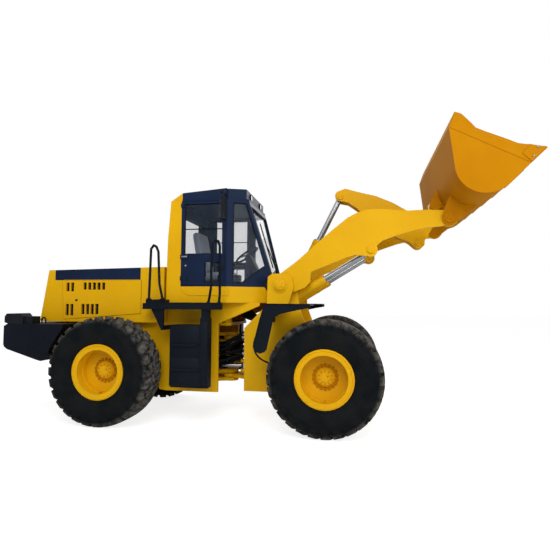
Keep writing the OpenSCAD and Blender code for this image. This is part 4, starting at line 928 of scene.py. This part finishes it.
boltY = np.linspace(-bucketLook["boltReach"], bucketLook["boltReach"], bucketLook["edgeBolts"])
edgeBolts = [onBucket(hexHeads([(x, y, 38.0) for y in boltY], (0, 0, 1), 16, 10))
             for x in bucketLook["boltRows"]]
makePiece("edge_bolts", edgeBolts, groundSteel, "bucket")
stripY = np.linspace(-bucketLook["stripReach"], bucketLook["stripReach"], bucketLook["strips"])
strips = [onBucket(roundBox((-560, y - 60, -12), (-290, y + 60, 2), 4)) for y in stripY]
makePiece("wear_strips", strips, shadedYellowEnamel, "bucket")
cutters, cutterBolts = [], []
for side in (-1, 1):
    sideFace, cutterFace = side * bucketLook["sideFace"], side * bucketLook["cutterFace"]
    edging = [(-266, 4), (-583, 953)] + bucketLook["freeEdge"] + [(-34, 4)]
    cutters.append(onBucket(plate(edging, sideFace, sideFace + side * 11, 3)))
    cutters.append(onBucket(plate(bucketLook["cutter"], cutterFace, cutterFace + side * 12, 4)))
    spots = [(x, cutterFace + side * 12, z) for x, z in bucketLook["cutterBolts"]]
    cutterBolts.append(onBucket(hexHeads(spots, (0, side, 0), 13, 9)))
makePiece("side_cutters", cutters, shadedYellowEnamel, "bucket")
makePiece("side_cutter_bolts", cutterBolts, groundSteel, "bucket")

fenderLook = {"y": 1286, "rim": [(1345, 1662), (1040, 1664), (800, 1664), (774, 1652), (705, 1431),
                                 (632, 1130)]}
brakeRoute = [(560, 562, 1290), (527, 640, 1216), (514, 720, 1094), (564, 760, 974), (660, 740, 890),
              (780, 660, 842), (1000, 575, 800)]
fenderEdges, brakeHoses = [], []
for side in (-1, 1):
    rim = smoothPath([(x, side * fenderLook["y"], z) for x, z in fenderLook["rim"]])
    fenderEdges.append(sweep(rim, 8, 8))
    brakeHoses.append(sweep(smoothPath([(x, side * y, z) for x, y, z in brakeRoute]), 12))
makePiece("fender_edges", fenderEdges, hoseRubber, "front")
makePiece("brake_hoses", brakeHoses, hoseRubber, "front")
print("bucket dressed")


# stage: a pale floor, a white surround, three soft lights and the photograph's camera

stageLook = {"floor": "#F3F3F2", "size": 60.0, "glow": 1.78, "glowShare": 0.45, "skyLight": 0.38}
floorMesh = bpy.data.meshes.new("floor")
s = stageLook["size"]
floorMesh.from_pydata([(-s, -s, 0), (s, -s, 0), (s, s, 0), (-s, s, 0)], [], [(0, 1, 2, 3)])
floor = bpy.data.objects.new("floor", floorMesh)
bpy.context.scene.collection.objects.link(floor)
floorFinish, tree = newFinish("pale_studio_floor")
diffuse = addNode(tree, "BsdfDiffuse", {"Color": linear(stageLook["floor"])})
glow = addNode(tree, "Emission", {"Color": (1, 1, 1, 1), "Strength": stageLook["glow"]})
ray = addNode(tree, "LightPath")
share = addNode(tree, "Math", {1: stageLook["glowShare"]}, {0: (ray, "Is Camera Ray")}, operation="MULTIPLY")
mixed = addNode(tree, "MixShader", {}, {0: (share, 0), 1: (diffuse, "BSDF"), 2: (glow, "Emission")})
addNode(tree, "OutputMaterial", {}, {"Surface": (mixed, 0)})
floor.data.materials.append(floorFinish)

world = bpy.data.worlds.new("studio")
bpy.context.scene.world = world
world.use_nodes = True
tree = world.node_tree
tree.nodes.clear()
# full white where it is seen or mirrored, and dimmer as a light
ray = addNode(tree, "LightPath")
seen = (ray, "Is Camera Ray")
for kind in ("Is Transmission Ray", "Is Glossy Ray"):
    seen = (addNode(tree, "Math", {}, {0: seen, 1: (ray, kind)}, operation="MAXIMUM"), 0)
power = addNode(tree, "MapRange", {"To Min": stageLook["skyLight"], "To Max": 1.0}, {"Value": seen})
sky = addNode(tree, "Background", {"Color": (1, 1, 1, 1)}, {"Strength": (power, "Result")})
addNode(tree, "OutputWorld", {}, {"Surface": (sky, "Background")})

lamps = [
    {"name": "key", "at": (1.0, -10.0, 9.0), "size": 7.0, "watts": 830},
    {"name": "fill", "at": (8.0, -8.0, 4.5), "size": 6.0, "watts": 260},
    {"name": "back", "at": (0.0, 9.0, 8.0), "size": 7.0, "watts": 300},
]
lampAim = Vector((0, 0, 1.5))
for lamp in lamps:
    light = bpy.data.lights.new(lamp["name"], "AREA")
    light.size, light.energy = lamp["size"], lamp["watts"]
    holder = bpy.data.objects.new(lamp["name"], light)
    holder.location = lamp["at"]
    holder.rotation_euler = (lampAim - Vector(lamp["at"])).to_track_quat("-Z", "Y").to_euler()
    bpy.context.scene.collection.objects.link(holder)

cameraLook = {"at": (1928.2, -7116.2, 1679.4), "yaw": 9.958, "pitch": 3.395, "roll": 0.332,
              "focalPixels": 471.96, "pixels": 550, "sensor": 36.0}
yaw, pitch, roll = (math.radians(cameraLook[key]) for key in ("yaw", "pitch", "roll"))
ahead = Vector((-math.sin(yaw) * math.cos(pitch), math.cos(yaw) * math.cos(pitch), math.sin(pitch)))
right = Vector((math.cos(yaw), math.sin(yaw), 0))
up = right.cross(ahead)
right, up = right * math.cos(roll) + up * math.sin(roll), up * math.cos(roll) - right * math.sin(roll)
cameraData = bpy.data.cameras.new("photoCamera")
cameraData.sensor_fit = "HORIZONTAL"
cameraData.sensor_width = cameraLook["sensor"]
cameraData.lens = cameraLook["sensor"] * cameraLook["focalPixels"] / cameraLook["pixels"]
camera = bpy.data.objects.new("photoCamera", cameraData)
position = Vector(cameraLook["at"]) / 1000 + Vector((pivotX, 0, 0))
camera.matrix_world = Matrix.Translation(position) @ Matrix((right, up, -ahead)).transposed().to_4x4()
bpy.context.scene.collection.objects.link(camera)
bpy.context.scene.camera = camera
bpy.context.scene.view_settings.view_transform = "Standard"
print("stage set")
